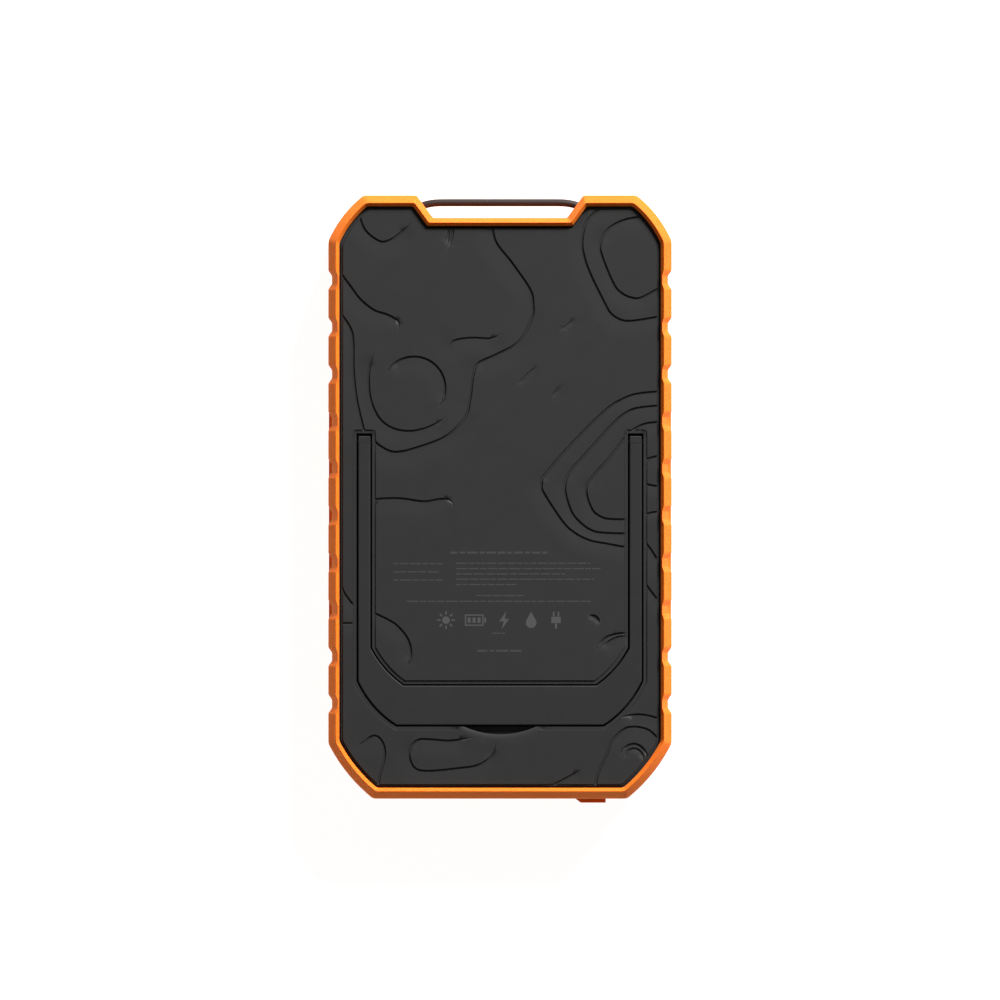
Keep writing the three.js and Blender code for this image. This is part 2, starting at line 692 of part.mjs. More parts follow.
function solarCell(index) {
  const { count, half, border, gap, low, high } = SOLAR_CELL;
  const pitch = (PANEL.top - PANEL.bottom - 2 * border) / count;
  const start = PANEL.bottom + border + index * pitch;
  return box(-half, half, start + gap / 2, start + pitch - gap / 2, low, high);
}

// ---- assembly -----------------------------------------------------------------------------

const powerBank = new THREE.Group();
powerBank.name = 'power_bank';
powerBank.position.y = CENTRE_Y;

function add(name, solid, look) {
  const mesh = new THREE.Mesh(toGeometry(solid), look);
  mesh.name = name;
  powerBank.add(mesh);
}

add('bumper', makeBumper(), finish.orangeRubber);
add('back_housing', makeBackHousing(), finish.darkPlastic);
add('front_cover', makeFrontCover(), finish.darkPlastic);
add('perimeter_gasket', makeGasket(), finish.sealRubber);
SCREW_SEATS.forEach((place, index) => add(`case_screw_${index + 1}`, makeScrew(place), finish.steel));

add('kickstand', makeKickstand(), finish.darkPlastic);
add('stand_pin_left', pinRod(-1, PIN.radius), finish.steel);
add('stand_pin_right', pinRod(1, PIN.radius), finish.steel);
add('hang_bar', barTube(BAR.radius), finish.blackSteel);

add('port_cover', makePortCover(), finish.orangeRubber);
add('port_cover_anchor', makePortCoverAnchor(), finish.orangeRubber);
add('port_frame', makePortFrame(), finish.blackPlastic);
['left', 'right'].forEach((side, index) => {
  const place = socketCentres()[index];
  add(`usb_a_socket_${side}`, makeUsbAShell(place), finish.steel);
  add(`usb_a_tongue_${side}`, makeUsbATongue(place), finish.whiteBoard);
});
add('usb_c_socket', makeUsbCShell(), finish.steel);
add('usb_c_tongue', makeUsbCTongue(), finish.chip);

add('main_board', makeMainBoard(), finish.greenBoard);
add(
  'charge_controller',
  box(-CHIP.half, CHIP.half, CHIP.low, CHIP.high, BOARD_TOP, BOARD_TOP + CHIP.thick),
  finish.chip,
);
add('boost_inductor', makeInductor(), finish.ferrite);
CAPACITOR.xs.forEach((x, index) => {
  const can = post(x, CAPACITOR.y, CAPACITOR.radius, BOARD_TOP, BOARD_TOP + CAPACITOR.tall);
  add(`capacitor_${index + 1}`, can, finish.cellFoil);
});
const switchLow = BUTTON.y - SWITCH.half;
const switchHigh = BUTTON.y + SWITCH.half;
add(
  'button_switch',
  box(-SWITCH.half, SWITCH.half, switchLow, switchHigh, SWITCH.z, BOARD_BOTTOM),
  finish.chip,
);
ledXs().forEach((x, index) => {
  const y = BUTTON.y;
  const { pipeRadius, pipeTop, low, halfWidth } = LED;
  const pipe = post(x, y, pipeRadius, FRONT_Z + RUNNING, pipeTop, 16);
  const led = box(x - halfWidth, x + halfWidth, y - halfWidth / 2, y + halfWidth / 2, low, BOARD_BOTTOM);
  add(`light_pipe_${index + 1}`, pipe, finish.lightPipe);
  add(`status_led_${index + 1}`, led, finish.ledBody);
});
add('power_button', makePowerButton(), finish.orangeRubber);

add('battery_cell_front', makePouchCell(0), finish.cellFoil);
add('battery_cell_back', makePouchCell(1), finish.cellFoil);
add(
  'foam_pad',
  box(-FOAM.half, FOAM.half, FOAM.bottom, FOAM.top, FOAM.z, CEILING_Z - 0.1),
  finish.foam,
);
const { half: strip, low: stripLow, high: stripHigh, z: stripZ, thick: stripThick } = PROTECTION_BOARD;
add(
  'protection_board',
  box(-strip, strip, stripLow, stripHigh, stripZ, stripZ + stripThick),
  finish.greenBoard,
);
add('battery_lead_red', batteryLead(6), finish.redWire);
add('battery_lead_black', batteryLead(10), finish.blackWire);

add('panel_sheet', panelLayer(PANEL_SHEET), finish.clearSheet);
for (let index = 0; index < SOLAR_CELL.count; index += 1) {
  add(`solar_cell_${index + 1}`, solarCell(index), finish.solarCell);
}
add('panel_backing', panelLayer(PANEL_BACKING), finish.whiteBoard);
add('panel_lead_red', panelLead(LEAD_HOLE.x - 2), finish.redWire);
add('panel_lead_black', panelLead(LEAD_HOLE.x + 2), finish.blackWire);

export default powerBank;
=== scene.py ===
# Looks of a rugged solar power bank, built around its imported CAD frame.
# Shapes are worked out in millimetres round the middle of the body, then put into the row frame.

import math
import random

import bmesh
import bpy
import numpy as np
from mathutils import Matrix, Vector
from mathutils.geometry import delaunay_2d_cdt


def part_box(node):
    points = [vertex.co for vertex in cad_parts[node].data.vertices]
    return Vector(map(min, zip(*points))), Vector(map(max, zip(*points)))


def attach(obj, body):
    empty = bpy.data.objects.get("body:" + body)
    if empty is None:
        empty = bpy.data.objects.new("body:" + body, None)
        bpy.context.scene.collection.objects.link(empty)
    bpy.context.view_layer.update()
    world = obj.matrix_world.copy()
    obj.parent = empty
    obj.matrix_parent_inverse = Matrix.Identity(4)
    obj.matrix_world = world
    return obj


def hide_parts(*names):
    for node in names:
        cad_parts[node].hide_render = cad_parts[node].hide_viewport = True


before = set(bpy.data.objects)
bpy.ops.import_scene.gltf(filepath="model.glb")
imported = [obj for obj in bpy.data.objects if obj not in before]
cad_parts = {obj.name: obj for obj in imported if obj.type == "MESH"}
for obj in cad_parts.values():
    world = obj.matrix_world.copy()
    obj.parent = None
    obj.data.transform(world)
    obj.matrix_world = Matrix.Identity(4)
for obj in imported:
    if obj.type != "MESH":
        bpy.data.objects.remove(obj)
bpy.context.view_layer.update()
slot_of = {node: cad_piece.data.materials[0].name for node, cad_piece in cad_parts.items()}

# ---- driving dimensions, millimetres --------------------------------------------------------

MM = 0.001
case_low, case_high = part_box("bumper")
HALF_WIDTH = case_high.x / MM
HALF_LENGTH = (case_high.y - case_low.y) / 2 / MM
MIDDLE_Y = (case_high.y + case_low.y) / 2
BACK_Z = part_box("back_housing")[1].z / MM
TO_ROW = Matrix.Translation((0, MIDDLE_Y, 0)) @ Matrix.Scale(MM, 4)

LOWER_ARC = {"from": (31.05, -HALF_LENGTH), "to": (HALF_WIDTH, -60.3), "radius": 40}
UPPER_ARC = {"from": (HALF_WIDTH, 62.65), "to": (33.4, HALF_LENGTH), "radius": 28.5}
NOTCH = {"top": 20.4, "floor": 16.4, "depth": 5.5}
CORNER_ROUND = 0.7
NOTCH_ROUND = 0.45

RIDGE = 1.85
RIDGE_ON_WALL = 1.43
RIDGE_ON_FLOOR = 1.15
GROOVE = {"count": 10, "first": 53.1, "pitch": 11.52, "mouth": 2.3, "floor": 1.0, "depth": 0.9}
RAIL_GROOVES = range(3, 8)
RAIL_Z = 11
CHAMFER_Z = 19.2
WINDOW = {"left": -29.8, "right": 27.3, "low": 5.7, "high": 16.3}

PLATE_BASE_Z = BACK_Z - 0.78
CUT_Z = BACK_Z - 0.75
PLATE_INSET = 3.2
STEP_INSET = 3.52
STEP_DROP = 0.34

STAND = {
    "outer": 34.7, "inner": 31.66, "thick": 3,
    "outer_corner": -44.9, "outer_foot": 25.3, "bottom": -55.75,
    "inner_corner": -36.9, "inner_foot": 23.6, "inner_bottom": -46.1,
    "radius": 25, "pivot_y": 13.4, "pivot_z": 19.25,
}
KNUCKLE_ROUND = 0.15
SLOT_GAP = 0.4
SLOT_TOP = 15.6
BORDER = 0.8
BORDER_DROP = 0.3
FINGER_NOTCH = {"half": 8.75, "depth": 1.9, "fillet": 1.2, "drop": 0.16}

BAR = {"radius": 0.9, "y": 72.25, "z": 11}

# The key light's direction from above.
LIGHT_X, LIGHT_Y = 0.48, 0.877

# Each relief line is a narrow groove. On the side away from the light the cover is a bit lower.
# WALL is how wide the steep sides of grooves and steps are, seen from above.
LINE_HALF = 0.26
WALL = 0.12
STEP_SHARE = 0.3
LINE_STEP = 0.7
ARC_STEP = 0.6
GRID = 1.6
GRID_CLEARANCE = 1.9
FADE = 4.5
FADE_SHARE = 0.3
RELIEF_OFFSETS = (-1.2, -0.33, -0.19, 0, 0.19, 0.33, 1.2)

# Each line: fades at its start, fades at its end, depth, reach of the slope behind it, points.
RELIEF = [
    (0, 1, 0.42, 4.0, [
        (-34.5, 69), (-33.3, 65.8), (-31.5, 63.8), (-29, 62.4), (-27, 62.8), (-25, 64), (-21, 67.5),
    ]),
    (0, 1, 0.35, 2.5, [(-12.5, 66.3), (-12.7, 63.4), (-13.3, 61.7)]),
    (0, 1, 0.35, 2.5, [(-11.4, 66.3), (-11.7, 63.9), (-12.8, 60.9)]),
    (0, 0, 0.45, 5.0, [
        (-2, 67.3), (-1, 62.4), (2.9, 57.3), (7.3, 50.9), (8.1, 47.5), (7.8, 43.8), (4.6, 38),
        (-1, 34.8), (-5.2, 32.8), (-6.5, 30), (-7.3, 24), (-8.6, 19.4), (-13, 15), (-20, 12.2),
        (-25.5, 11), (-29, 12.3), (-31.5, 14.5),
    ]),
    (0, 1, 0.45, 4.5, [
        (-40.6, 57), (-36.4, 51.3), (-34, 48.2), (-30.8, 45.7), (-27.6, 44.6), (-25.3, 43.3),
        (-24.7, 41.8), (-25.4, 40),
    ]),
    (0, 0, 0.4, 4.0, [(-40, 46.3), (-36.7, 41.6), (-35.9, 38), (-35.8, 31), (-35, 23.8), (-33.2, 16)]),
    (1, 1, 0.4, 4.5, [
        (-30.7, 36), (-32, 31), (-31.9, 25.5), (-30.8, 21.6), (-28.9, 18.6), (-25.9, 16.7),
        (-22, 16.1), (-18.3, 16.8), (-15.2, 18.2), (-12.7, 20),
    ]),
    (0, 1, 0.35, 4.0, [(-12.1, 37), (-11, 38.3), (-6.8, 38.9), (-2, 38.8), (1.2, 40.5)]),
    (1, 1, 0.16, 3.0, [(18.8, 43.8), (16.4, 42), (14.7, 40.4)]),
    (1, 1, 0.2, 3.0, [(9.8, 32.6), (7, 30.2), (3.7, 26.7)]),
    (1, 1, 0.14, 3.0, [(15.5, 27.5), (12.5, 24.2)]),
    (0, 0, 0.42, 3.5, [
        (27, 71.7), (23.7, 70), (21, 67), (20.1, 62.4), (20.6, 58.7), (22.2, 54.3), (25.7, 47.2),
        (27.1, 44.9), (29.6, 43.3), (32.8, 43.1), (39.6, 44.2),
    ]),
    (0, 0, 0.42, 3.5, [
        (36.2, 68.8), (30.3, 67.7), (26.2, 65.3), (24.5, 61.8), (25.1, 58.5), (27.8, 52.1),
        (29.8, 49.8), (32.3, 48.7), (34.7, 48.8), (40, 51.7),
    ]),
    (0, 0, 0.42, 3.0, [
        (40.6, 25.9), (34, 25.3), (30.3, 24.1), (25.9, 21.3), (17.8, 13.3), (11, 5.5), (10.2, 3.2),
        (10.7, 1), (15.4, -6.1), (18.6, -9), (22.2, -10.7), (25.9, -11.4), (31.3, -12.4),
    ]),
    (0, 0, 0.42, 3.0, [
        (40, 22.4), (34.5, 21.9), (31.5, 21), (27.9, 18.2), (20.5, 10.1), (17, 6), (15.9, 2),
        (17.4, -3.4), (19.8, -6.4), (22.7, -8.3), (25.9, -8.8), (31.8, -9),
    ]),
    (0, 0, 0.42, 3.5, [
        (40, 18.4), (35.2, 17.8), (31.3, 15.3), (26.4, 9.2), (22, 4.2), (21.1, 1.2), (22.5, -3),
        (24.4, -4.7), (26.7, -5.4), (31.8, -5.5),
    ]),
    (0, 0, 0.4, 3.0, [(35.7, 8.9), (36.9, 9.6), (40, 10.2)]),
    (0, 0, 0.4, 3.0, [(35.7, 3.2), (37.2, 2.8), (40, 2.4)]),
    (0, 0, 0.35, 1.5, [(35.7, -4.3), (37.2, -3.8), (40, -3.6)]),
    (0, 0, 0.4, 3.0, [(35.2, -10.7), (36.9, -12.9), (40, -17.8)]),
    (0, 0, 0.4, 3.0, [(35.7, -21.5), (38.4, -25), (40.6, -27.8)]),
    (0, 1, 0.4, 4.0, [
        (-31.8, -0.8), (-28.6, -0.4), (-24, -0.4), (-18.6, -1.1), (-14.5, -0.5), (-12.4, -0.8),
        (-11.5, -1.8), (-11.9, -3.1),
    ]),
    (0, 1, 0.42, 4.0, [
        (-31.8, -27.9), (-27.4, -30), (-24.9, -31.7), (-22.4, -35), (-21.8, -38.8), (-23.3, -42.7),
    ]),
    (0, 1, 0.4, 1.0, [(31.8, -33.2), (28.4, -33.5), (25.5, -34.7), (23.2, -38)]),
    (0, 1, 0.4, 4.0, [(31.8, -34.0), (28.7, -34.3), (26.4, -35.5), (24.5, -37.6)]),
    (0, 0, 0.4, 3.0, [(-38.9, -21), (-38.1, -23.4), (-35.7, -26.7)]),
    (0, 0, 0.3, 3.0, [(-40.6, -30.9), (-35.7, -30.9)]),
    (0, 0, 0.4, 4.0, [
        (-32.8, -59.7), (-31.5, -58.6), (-30, -58.5), (-28.5, -60.4), (-28.2, -63.5), (-29.5, -68.6),
        (-29.6, -71.6),
    ]),
    (1, 1, 0.42, 4.0, [
        (-6, -58.6), (-8.3, -59.1), (-12.5, -59.6), (-17, -59.3), (-20, -59.4), (-22, -61.5),
        (-22, -64.2), (-20.5, -66.5), (-17, -67), (-9.8, -66.3), (-5.5, -65.6), (-2.2, -63.6),
        (-1.3, -61.5), (-1.5, -59.3),
    ]),
    (1, 0, 0.4, 4.0, [(28.9, -54.1), (33.3, -53.2), (37.2, -53.7), (40.6, -55)]),
    (0, 0, 0.42, 4.0, [
        (41, -61.8), (37.2, -57.6), (35, -56.5), (32.5, -56.2), (30.3, -56.8), (27.5, -59.5),
        (26, -63), (23.8, -68.2), (23.3, -72.1),
    ]),
    (1, 1, 0.4, 1.5, [
        (29.3, -64.2), (29.5, -63.2), (30.1, -61.9), (31.4, -60.7), (33.2, -60.4), (35, -61.5),
        (36, -63.4), (36.1, -65),
    ]),
    (1, 1, 0.4, 1.0, [
        (30.3, -64.6), (30.6, -63.2), (31.5, -61.9), (33, -61.5), (34.4, -62.3), (35, -63.8),
        (34.8, -65.4),
    ]),
    (1, 0, 0.35, 3.0, [(20.3, -66.3), (17.8, -67.9), (13.4, -70.2)]),
]
RELIEF_ARCS = [
    # centre x, centre y, radius, from degrees, to degrees, depth, reach
    (-21, 26.7, 7.6, 158, -45, 0.45, 4.5),
    (22.7, -30.4, 1.1, 160, -50, 0.4, 1.2),
    (22.7, -30.4, 1.45, 150, -40, 0.4, 1.2),
]

# ---- small tools ----------------------------------------------------------------------------


def smoothstep(value):
    value = np.clip(value, 0, 1)
    return value * value * (3 - 2 * value)


def arc_centre(arc):
    """The centre of a counter-clockwise arc."""
    start = Vector(arc["from"])
    end = Vector(arc["to"])
    chord = end - start
    rise = math.sqrt(arc["radius"] ** 2 - chord.length_squared / 4)
    left = Vector((-chord.y, chord.x)).normalized()
    return (start + end) / 2 + left * rise


def arc_points(centre, radius, start, end, steps):
    """Points on a circle's arc, from one angle to another in radians."""
    angles = [start + (end - start) * step / steps for step in range(steps + 1)]
    return [Vector((centre[0] + radius * math.cos(a), centre[1] + radius * math.sin(a))) for a in angles]


def circle_points(centre, radius, sides):
    return arc_points(centre, radius, 0, 2 * math.pi, sides)[:sides]


def angle_at(centre, point):
    return math.atan2(point[1] - centre[1], point[0] - centre[0])


def smooth_line(points, step):
    """Evenly spaced points on a Catmull-Rom curve through the given ones."""
    knots = np.array(points, float)
    ends = np.vstack([2 * knots[0] - knots[1], knots, 2 * knots[-1] - knots[-2]])
    dense = []
    for index in range(len(knots) - 1):
        a, b, c, d = ends[index:index + 4]
        for t in np.linspace(0, 1, 12, endpoint=False):
            curve = 2 * b + (c - a) * t + (2 * a - 5 * b + 4 * c - d) * t ** 2
            dense.append((curve + (3 * b - a - 3 * c + d) * t ** 3) / 2)
    dense = np.array(dense + [knots[-1]])
    along = np.concatenate([[0], np.cumsum(np.linalg.norm(np.diff(dense, axis=0), axis=1))])
    count = max(3, round(along[-1] / step) + 1)
    places = np.linspace(0, along[-1], count)
    return np.column_stack([np.interp(places, along, dense[:, axis]) for axis in range(dense.shape[1])])


def left_normals(line):
    """Unit normals on the left of a line of points."""
    way = np.gradient(line, axis=0)
    way = way / np.linalg.norm(way, axis=1)[:, None]
    return np.column_stack([-way[:, 1], way[:, 0]])


def grown(points, distance):
    """A counter-clockwise outline moved outwards by a distance, with mitred corners."""
    count = len(points)
    moved = []
    for index, point in enumerate(points):
        before = (point - points[index - 1]).normalized()
        after = (points[(index + 1) % count] - point).normalized()
        out = Vector((before.y + after.y, -before.x - after.x))
        moved.append(point + out * distance / (1 + before.dot(after)))
    return moved


def mirrored(points):
    return [Vector((-p.x, p.y)) for p in reversed(points)]


def new_mesh(name, mesh_data):
    """A mesh from a bmesh, which is freed."""
    mesh = bpy.data.meshes.new(name)
    mesh_data.to_mesh(mesh)
    mesh_data.free()
    return mesh


def add_object(name, data):
    """An object in the scene with the given mesh, light or camera."""
    made = bpy.data.objects.new(name, data)
    bpy.context.scene.collection.objects.link(made)
    return made


def finish_piece(name, mesh_data, body, slot, stands_for=(), look=None, sharp=38, even_normals=True):
    """Turns a bmesh in millimetres into a piece that rides on a body. look overrides the slot's look."""
    bmesh.ops.recalc_face_normals(mesh_data, faces=mesh_data.faces)
    mesh = new_mesh(name, mesh_data)
    mesh.transform(TO_ROW)
    mesh.polygons.foreach_set("use_smooth", [True] * len(mesh.polygons))
    mesh.set_sharp_from_angle(angle=math.radians(sharp))
    mesh.materials.append(looks[look or slot])
    piece = add_object(name, mesh)
    if even_normals:
        weighted = piece.modifiers.new("even_normals", "WEIGHTED_NORMAL")
        weighted.keep_sharp = True
    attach(piece, body)
    if stands_for:
        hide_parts(*stands_for)


def add_loop(mesh_data, points, z=None):
    """New vertices at points, which have their own heights unless z is given."""
    if z is None:
        return [mesh_data.verts.new(p) for p in points]
    return [mesh_data.verts.new((p[0], p[1], z)) for p in points]


def bridge(mesh_data, first, second):
    """Quads between two closed loops of the same length."""
    for i in range(len(first)):
        j = (i + 1) % len(first)
        mesh_data.faces.new((first[i], first[j], second[j], second[i]))


def cap_ends(mesh_data, loops):
    """Joins loops in turn and closes both ends with flat faces."""
    for first, second in zip(loops, loops[1:]):
        bridge(mesh_data, first, second)
    mesh_data.faces.new(list(reversed(loops[0])))
    mesh_data.faces.new(loops[-1])


def add_stack(mesh_data, levels):
    """A closed body through (outline, z) levels, with flat ends."""
    cap_ends(mesh_data, [add_loop(mesh_data, shape, z) for shape, z in levels])


def add_tube(mesh_data, path, radii, sides, flatten=1.0):
    """A closed round tube along points, with a radius for each."""
    path = [Vector(p) for p in path]
    loops = []
    up = Vector((0, 0, 1))
    for index, point in enumerate(path):
        way = path[min(index + 1, len(path) - 1)] - path[max(index - 1, 0)]
        way.normalize()
        across = way.cross(up).normalized()
        over = across.cross(way)
        ring = []
        for side in range(sides):
            angle = 2 * math.pi * side / sides
            offset = across * math.cos(angle) + over * math.sin(angle) * flatten
            ring.append(point + offset * radii[index])
        loops.append(add_loop(mesh_data, ring))
    cap_ends(mesh_data, loops)


def combined(base, tool, operation):
    """The boolean of two bmeshes, as a new bmesh."""
    objects = [add_object("scratch", new_mesh("scratch", mesh_data)) for mesh_data in (base, tool)]
    modifier = objects[0].modifiers.new("boolean", "BOOLEAN")
    modifier.operation = operation
    modifier.object = objects[1]
    modifier.solver = "EXACT"
    depsgraph = bpy.context.evaluated_depsgraph_get()
    result = bmesh.new()
    result.from_mesh(objects[0].evaluated_get(depsgraph).data)
    for made in objects:
        mesh = made.data
        bpy.data.objects.remove(made)
        bpy.data.meshes.remove(mesh)
    return result


# ---- materials ------------------------------------------------------------------------------

looks = {}


class Surface:
    """A material that is being built. looks keeps it by its name."""

    def __init__(self, name):
        material = bpy.data.materials.new(name)
        material.use_nodes = True
        looks[name] = material
        self.nodes = material.node_tree.nodes
        self.links = material.node_tree.links
        self.shader = self.nodes["Principled BSDF"]
        self.place = self.nodes.new("ShaderNodeTexCoord").outputs["Object"]

    def put(self, node, values):
        """Fills a node's sockets: a link for another node's output, a constant for the rest."""
        for socket, value in values.items():
            if isinstance(value, bpy.types.NodeSocket):
                self.links.new(value, node.inputs[socket])
            else:
                node.inputs[socket].default_value = value

    def noise(self, size_mm, detail=3.0, roughness=0.55, place=None):
        node = self.nodes.new("ShaderNodeTexNoise")
        scale = 1 / (size_mm * MM)
        place = place or self.place
        self.put(node, {"Scale": scale, "Detail": detail, "Roughness": roughness, "Vector": place})
        return node.outputs["Fac"]

    def ranged(self, source, low, high):
        node = self.nodes.new("ShaderNodeMapRange")
        self.put(node, {"To Min": low, "To Max": high, "Value": source})
        return node.outputs["Result"]

    def blend(self, factor, first, second):
        node = self.nodes.new("ShaderNodeMix")
        node.data_type = "RGBA"
        self.put(node, {"Factor": factor, "A": first, "B": second})
        return node.outputs["Result"]

    def maths(self, operation, *values):
        node = self.nodes.new("ShaderNodeMath")
        node.operation = operation
        self.put(node, dict(enumerate(values)))
        return node.outputs[0]

    def stripes(self, axis, pitch, width):
        """1 on narrow lines that repeat along an axis, 0 between them."""
        split = self.nodes.new("ShaderNodeSeparateXYZ")
        self.put(split, {0: self.place})
        scaled = self.maths("MULTIPLY_ADD", split.outputs[axis], 1 / (pitch * MM), 0.5)
        offset = self.maths("SUBTRACT", self.maths("FRACT", scaled), 0.5)
        return self.maths("LESS_THAN", self.maths("ABSOLUTE", offset), width / pitch / 2)

    def bump(self, height, depth_mm):
        node = self.nodes.new("ShaderNodeBump")
        self.put(node, {"Distance": depth_mm * MM, "Strength": 1.0, "Height": height})
        self.put(self.shader, {"Normal": node.outputs["Normal"]})


def srgb(red, green, blue):
    """A display colour, 0 to 255, as linear light."""
    return tuple(((c / 255 + 0.055) / 1.055) ** 2.4 for c in (red, green, blue)) + (1,)


def scaled(colour, share):
    return tuple(min(1, c * share) for c in colour[:3]) + (1,)


def moulded(name, colour, patch, rough, grain_mm, grain_depth, wear=None, metallic=0.0, specular=0.5):
    """A moulded or painted surface: soft patches of tone, uneven gloss and a fine grain."""
    surface = Surface(name)
    tone = surface.noise(14, 3)
    base = surface.blend(tone, scaled(colour, 1 - patch), scaled(colour, 1 + patch))
    grain = surface.noise(grain_mm, 2, 0.5)
    if wear is not None:
        base = surface.blend(surface.ranged(grain, -0.25, 0.35), base, wear)
    gloss = surface.noise(5, 4)
    surface.put(surface.shader, {
        "Base Color": base,
        "Roughness": surface.ranged(gloss, rough - 0.07, rough + 0.07),
        "Metallic": metallic,
        "Specular IOR Level": specular,
    })
    surface.bump(grain, grain_depth)
    return surface


def brushed(name, colour, rough, stretch=(1, 30, 30)):
    """Metal with fine drawn lines along one axis."""
    surface = Surface(name)
    mapping = surface.nodes.new("ShaderNodeMapping")
    surface.put(mapping, {"Scale": stretch, "Vector": surface.place})
    lines = surface.noise(4, 4, place=mapping.outputs["Vector"])
    surface.put(surface.shader, {
        "Base Color": surface.blend(lines, scaled(colour, 0.85), colour),
        "Roughness": surface.ranged(lines, rough - 0.06, rough + 0.08),
        "Metallic": 1.0,
    })
    surface.bump(lines, 0.01)


def clear_sheet(name, tint, alpha, rough):
    """A thin clear film or window with a faint unevenness."""
    surface = Surface(name)
    waves = surface.noise(9, 2)
    roughness = surface.ranged(waves, rough, rough + 0.05)
    surface.put(surface.shader, {"Roughness": roughness, "Base Color": tint, "Alpha": alpha})
    surface.bump(waves, 0.03)


def solar_silicon():
    """Dark blue silicon with fine silver fingers and three wider bars."""
    surface = Surface("solar_silicon")
    crystal = surface.nodes.new("ShaderNodeTexVoronoi")
    surface.put(crystal, {"Scale": 1 / (6 * MM), "Vector": surface.place})
    blue = surface.blend(crystal.outputs["Distance"], (0.006, 0.010, 0.030, 1), (0.012, 0.022, 0.065, 1))
    fingers = surface.stripes("X", 1.5, 0.1)
    bars = surface.stripes("X", 20.0, 1.0)
    lined = surface.blend(fingers, blue, (0.12, 0.13, 0.16, 1))
    surface.put(surface.shader, {
        "Base Color": surface.blend(bars, lined, (0.36, 0.37, 0.39, 1)),
        "Roughness": 0.32, "Coat Weight": 0.8, "Coat Roughness": 0.08,
    })
    surface.bump(fingers, 0.02)


def circuit_board():
    """Green solder resist with traces and rows of bright pads."""
    surface = Surface("circuit_board")
    green = surface.blend(surface.noise(3, 3), (0.008, 0.05, 0.02, 1), (0.015, 0.09, 0.035, 1))
    traces = surface.stripes("X", 2.54, 0.35)
    lined = surface.blend(traces, green, (0.03, 0.14, 0.06, 1))
    pads = surface.maths("MULTIPLY", traces, surface.stripes("Y", 5.08, 0.5))
    base = surface.blend(pads, lined, (0.5, 0.42, 0.2, 1))
    surface.put(surface.shader, {"Base Color": base, "Roughness": 0.35})
    surface.bump(traces, 0.03)


rubber = moulded("bumper_rubber", srgb(234, 116, 36), 0.05, 0.55, 0.35, 0.012, specular=0.08)
rubber.put(rubber.shader, {
    "Subsurface Weight": 0.2,
    "Subsurface Radius": (1, 0.16, 0.05),
    "Subsurface Scale": 0.6 * MM,
})
moulded("cover_plastic", srgb(26, 26, 26), 0.05, 0.62, 0.30, 0.010, srgb(34, 34, 34), specular=0.4)
moulded("stand_plastic", srgb(26, 26, 26), 0.04, 0.58, 0.30, 0.008, srgb(33, 33, 33), specular=0.4)
moulded("black_plastic", srgb(26, 26, 28), 0.06, 0.5, 0.3, 0.01)
moulded("painted_steel", srgb(42, 32, 30), 0.08, 0.5, 0.25, 0.006, specular=0.22)
brushed("steel", (0.62, 0.63, 0.65, 1), 0.3)
brushed("socket_steel", (0.66, 0.66, 0.68, 1), 0.25, (30, 1, 30))
moulded("tongue_white", srgb(225, 226, 224), 0.03, 0.45, 0.3, 0.006)
moulded("chip_black", srgb(28, 28, 30), 0.08, 0.55, 0.12, 0.01)
moulded("gasket_rubber", srgb(34, 34, 36), 0.08, 0.75, 0.4, 0.02)
clear_sheet("panel_film", (0.05, 0.06, 0.09, 1), 0.12, 0.08)
solar_silicon()
moulded("panel_board", srgb(205, 208, 206), 0.04, 0.6, 0.4, 0.02)
circuit_board()
moulded("ferrite", srgb(58, 58, 62), 0.12, 0.72, 0.2, 0.02)
brushed("capacitor_can", (0.7, 0.71, 0.73, 1), 0.28, (30, 30, 1))
brushed("cell_foil", (0.68, 0.69, 0.7, 1), 0.38, (3, 3, 3))
moulded("foam", srgb(60, 60, 62), 0.12, 0.95, 0.9, 0.25)
clear_sheet("light_pipe", (0.85, 0.9, 0.95, 1), 0.75, 0.12)
moulded("led_body", srgb(240, 232, 190), 0.05, 0.4, 0.3, 0.01)
moulded("wire_red", srgb(176, 30, 26), 0.06, 0.45, 0.5, 0.01)
moulded("wire_black", srgb(24, 24, 24), 0.06, 0.45, 0.5, 0.01)
moulded("text_ink", srgb(46, 46, 47), 0.05, 0.6, 0.3, 0.006)
moulded("sign_ink", srgb(62, 62, 63), 0.05, 0.6, 0.3, 0.006)
moulded("oiled_steel", srgb(40, 40, 42), 0.1, 0.35, 0.4, 0.005, metallic=0.9)
brushed("contact_gold", (0.83, 0.62, 0.25, 1), 0.22)

# ---- the body's outline ---------------------------------------------------------------------

LOWER_CENTRE = arc_centre(LOWER_ARC)
UPPER_CENTRE = arc_centre(UPPER_ARC)


def rounded(before, corner, after, size, steps=4):
    """A small curve across a corner, between its two neighbours' directions."""
    start = corner + (before - corner).normalized() * size
    end = corner + (after - corner).normalized() * size
    points = []
    for step in range(steps + 1):
        t = step / steps
        points.append(start.lerp(corner, t).lerp(corner.lerp(end, t), t))
    return points


def side_levels():
    """Heights along a side where the outline needs points: both slopes of each groove."""
    levels = []
    edge = GROOVE["mouth"]
    floor = GROOVE["floor"]
    offsets = [-edge - 0.5, -edge - 0.15, -edge + 0.15, -floor - 0.15, -floor + 0.15]
    for index in range(GROOVE["count"]):
        middle = GROOVE["first"] - GROOVE["pitch"] * index
        levels += [middle + o for o in offsets] + [middle - o for o in offsets]
    return sorted(levels)


SIDE_LEVELS = side_levels()
BOTTOM_LEVELS = [9.0, 18.0, WINDOW["right"], -WINDOW["left"]]


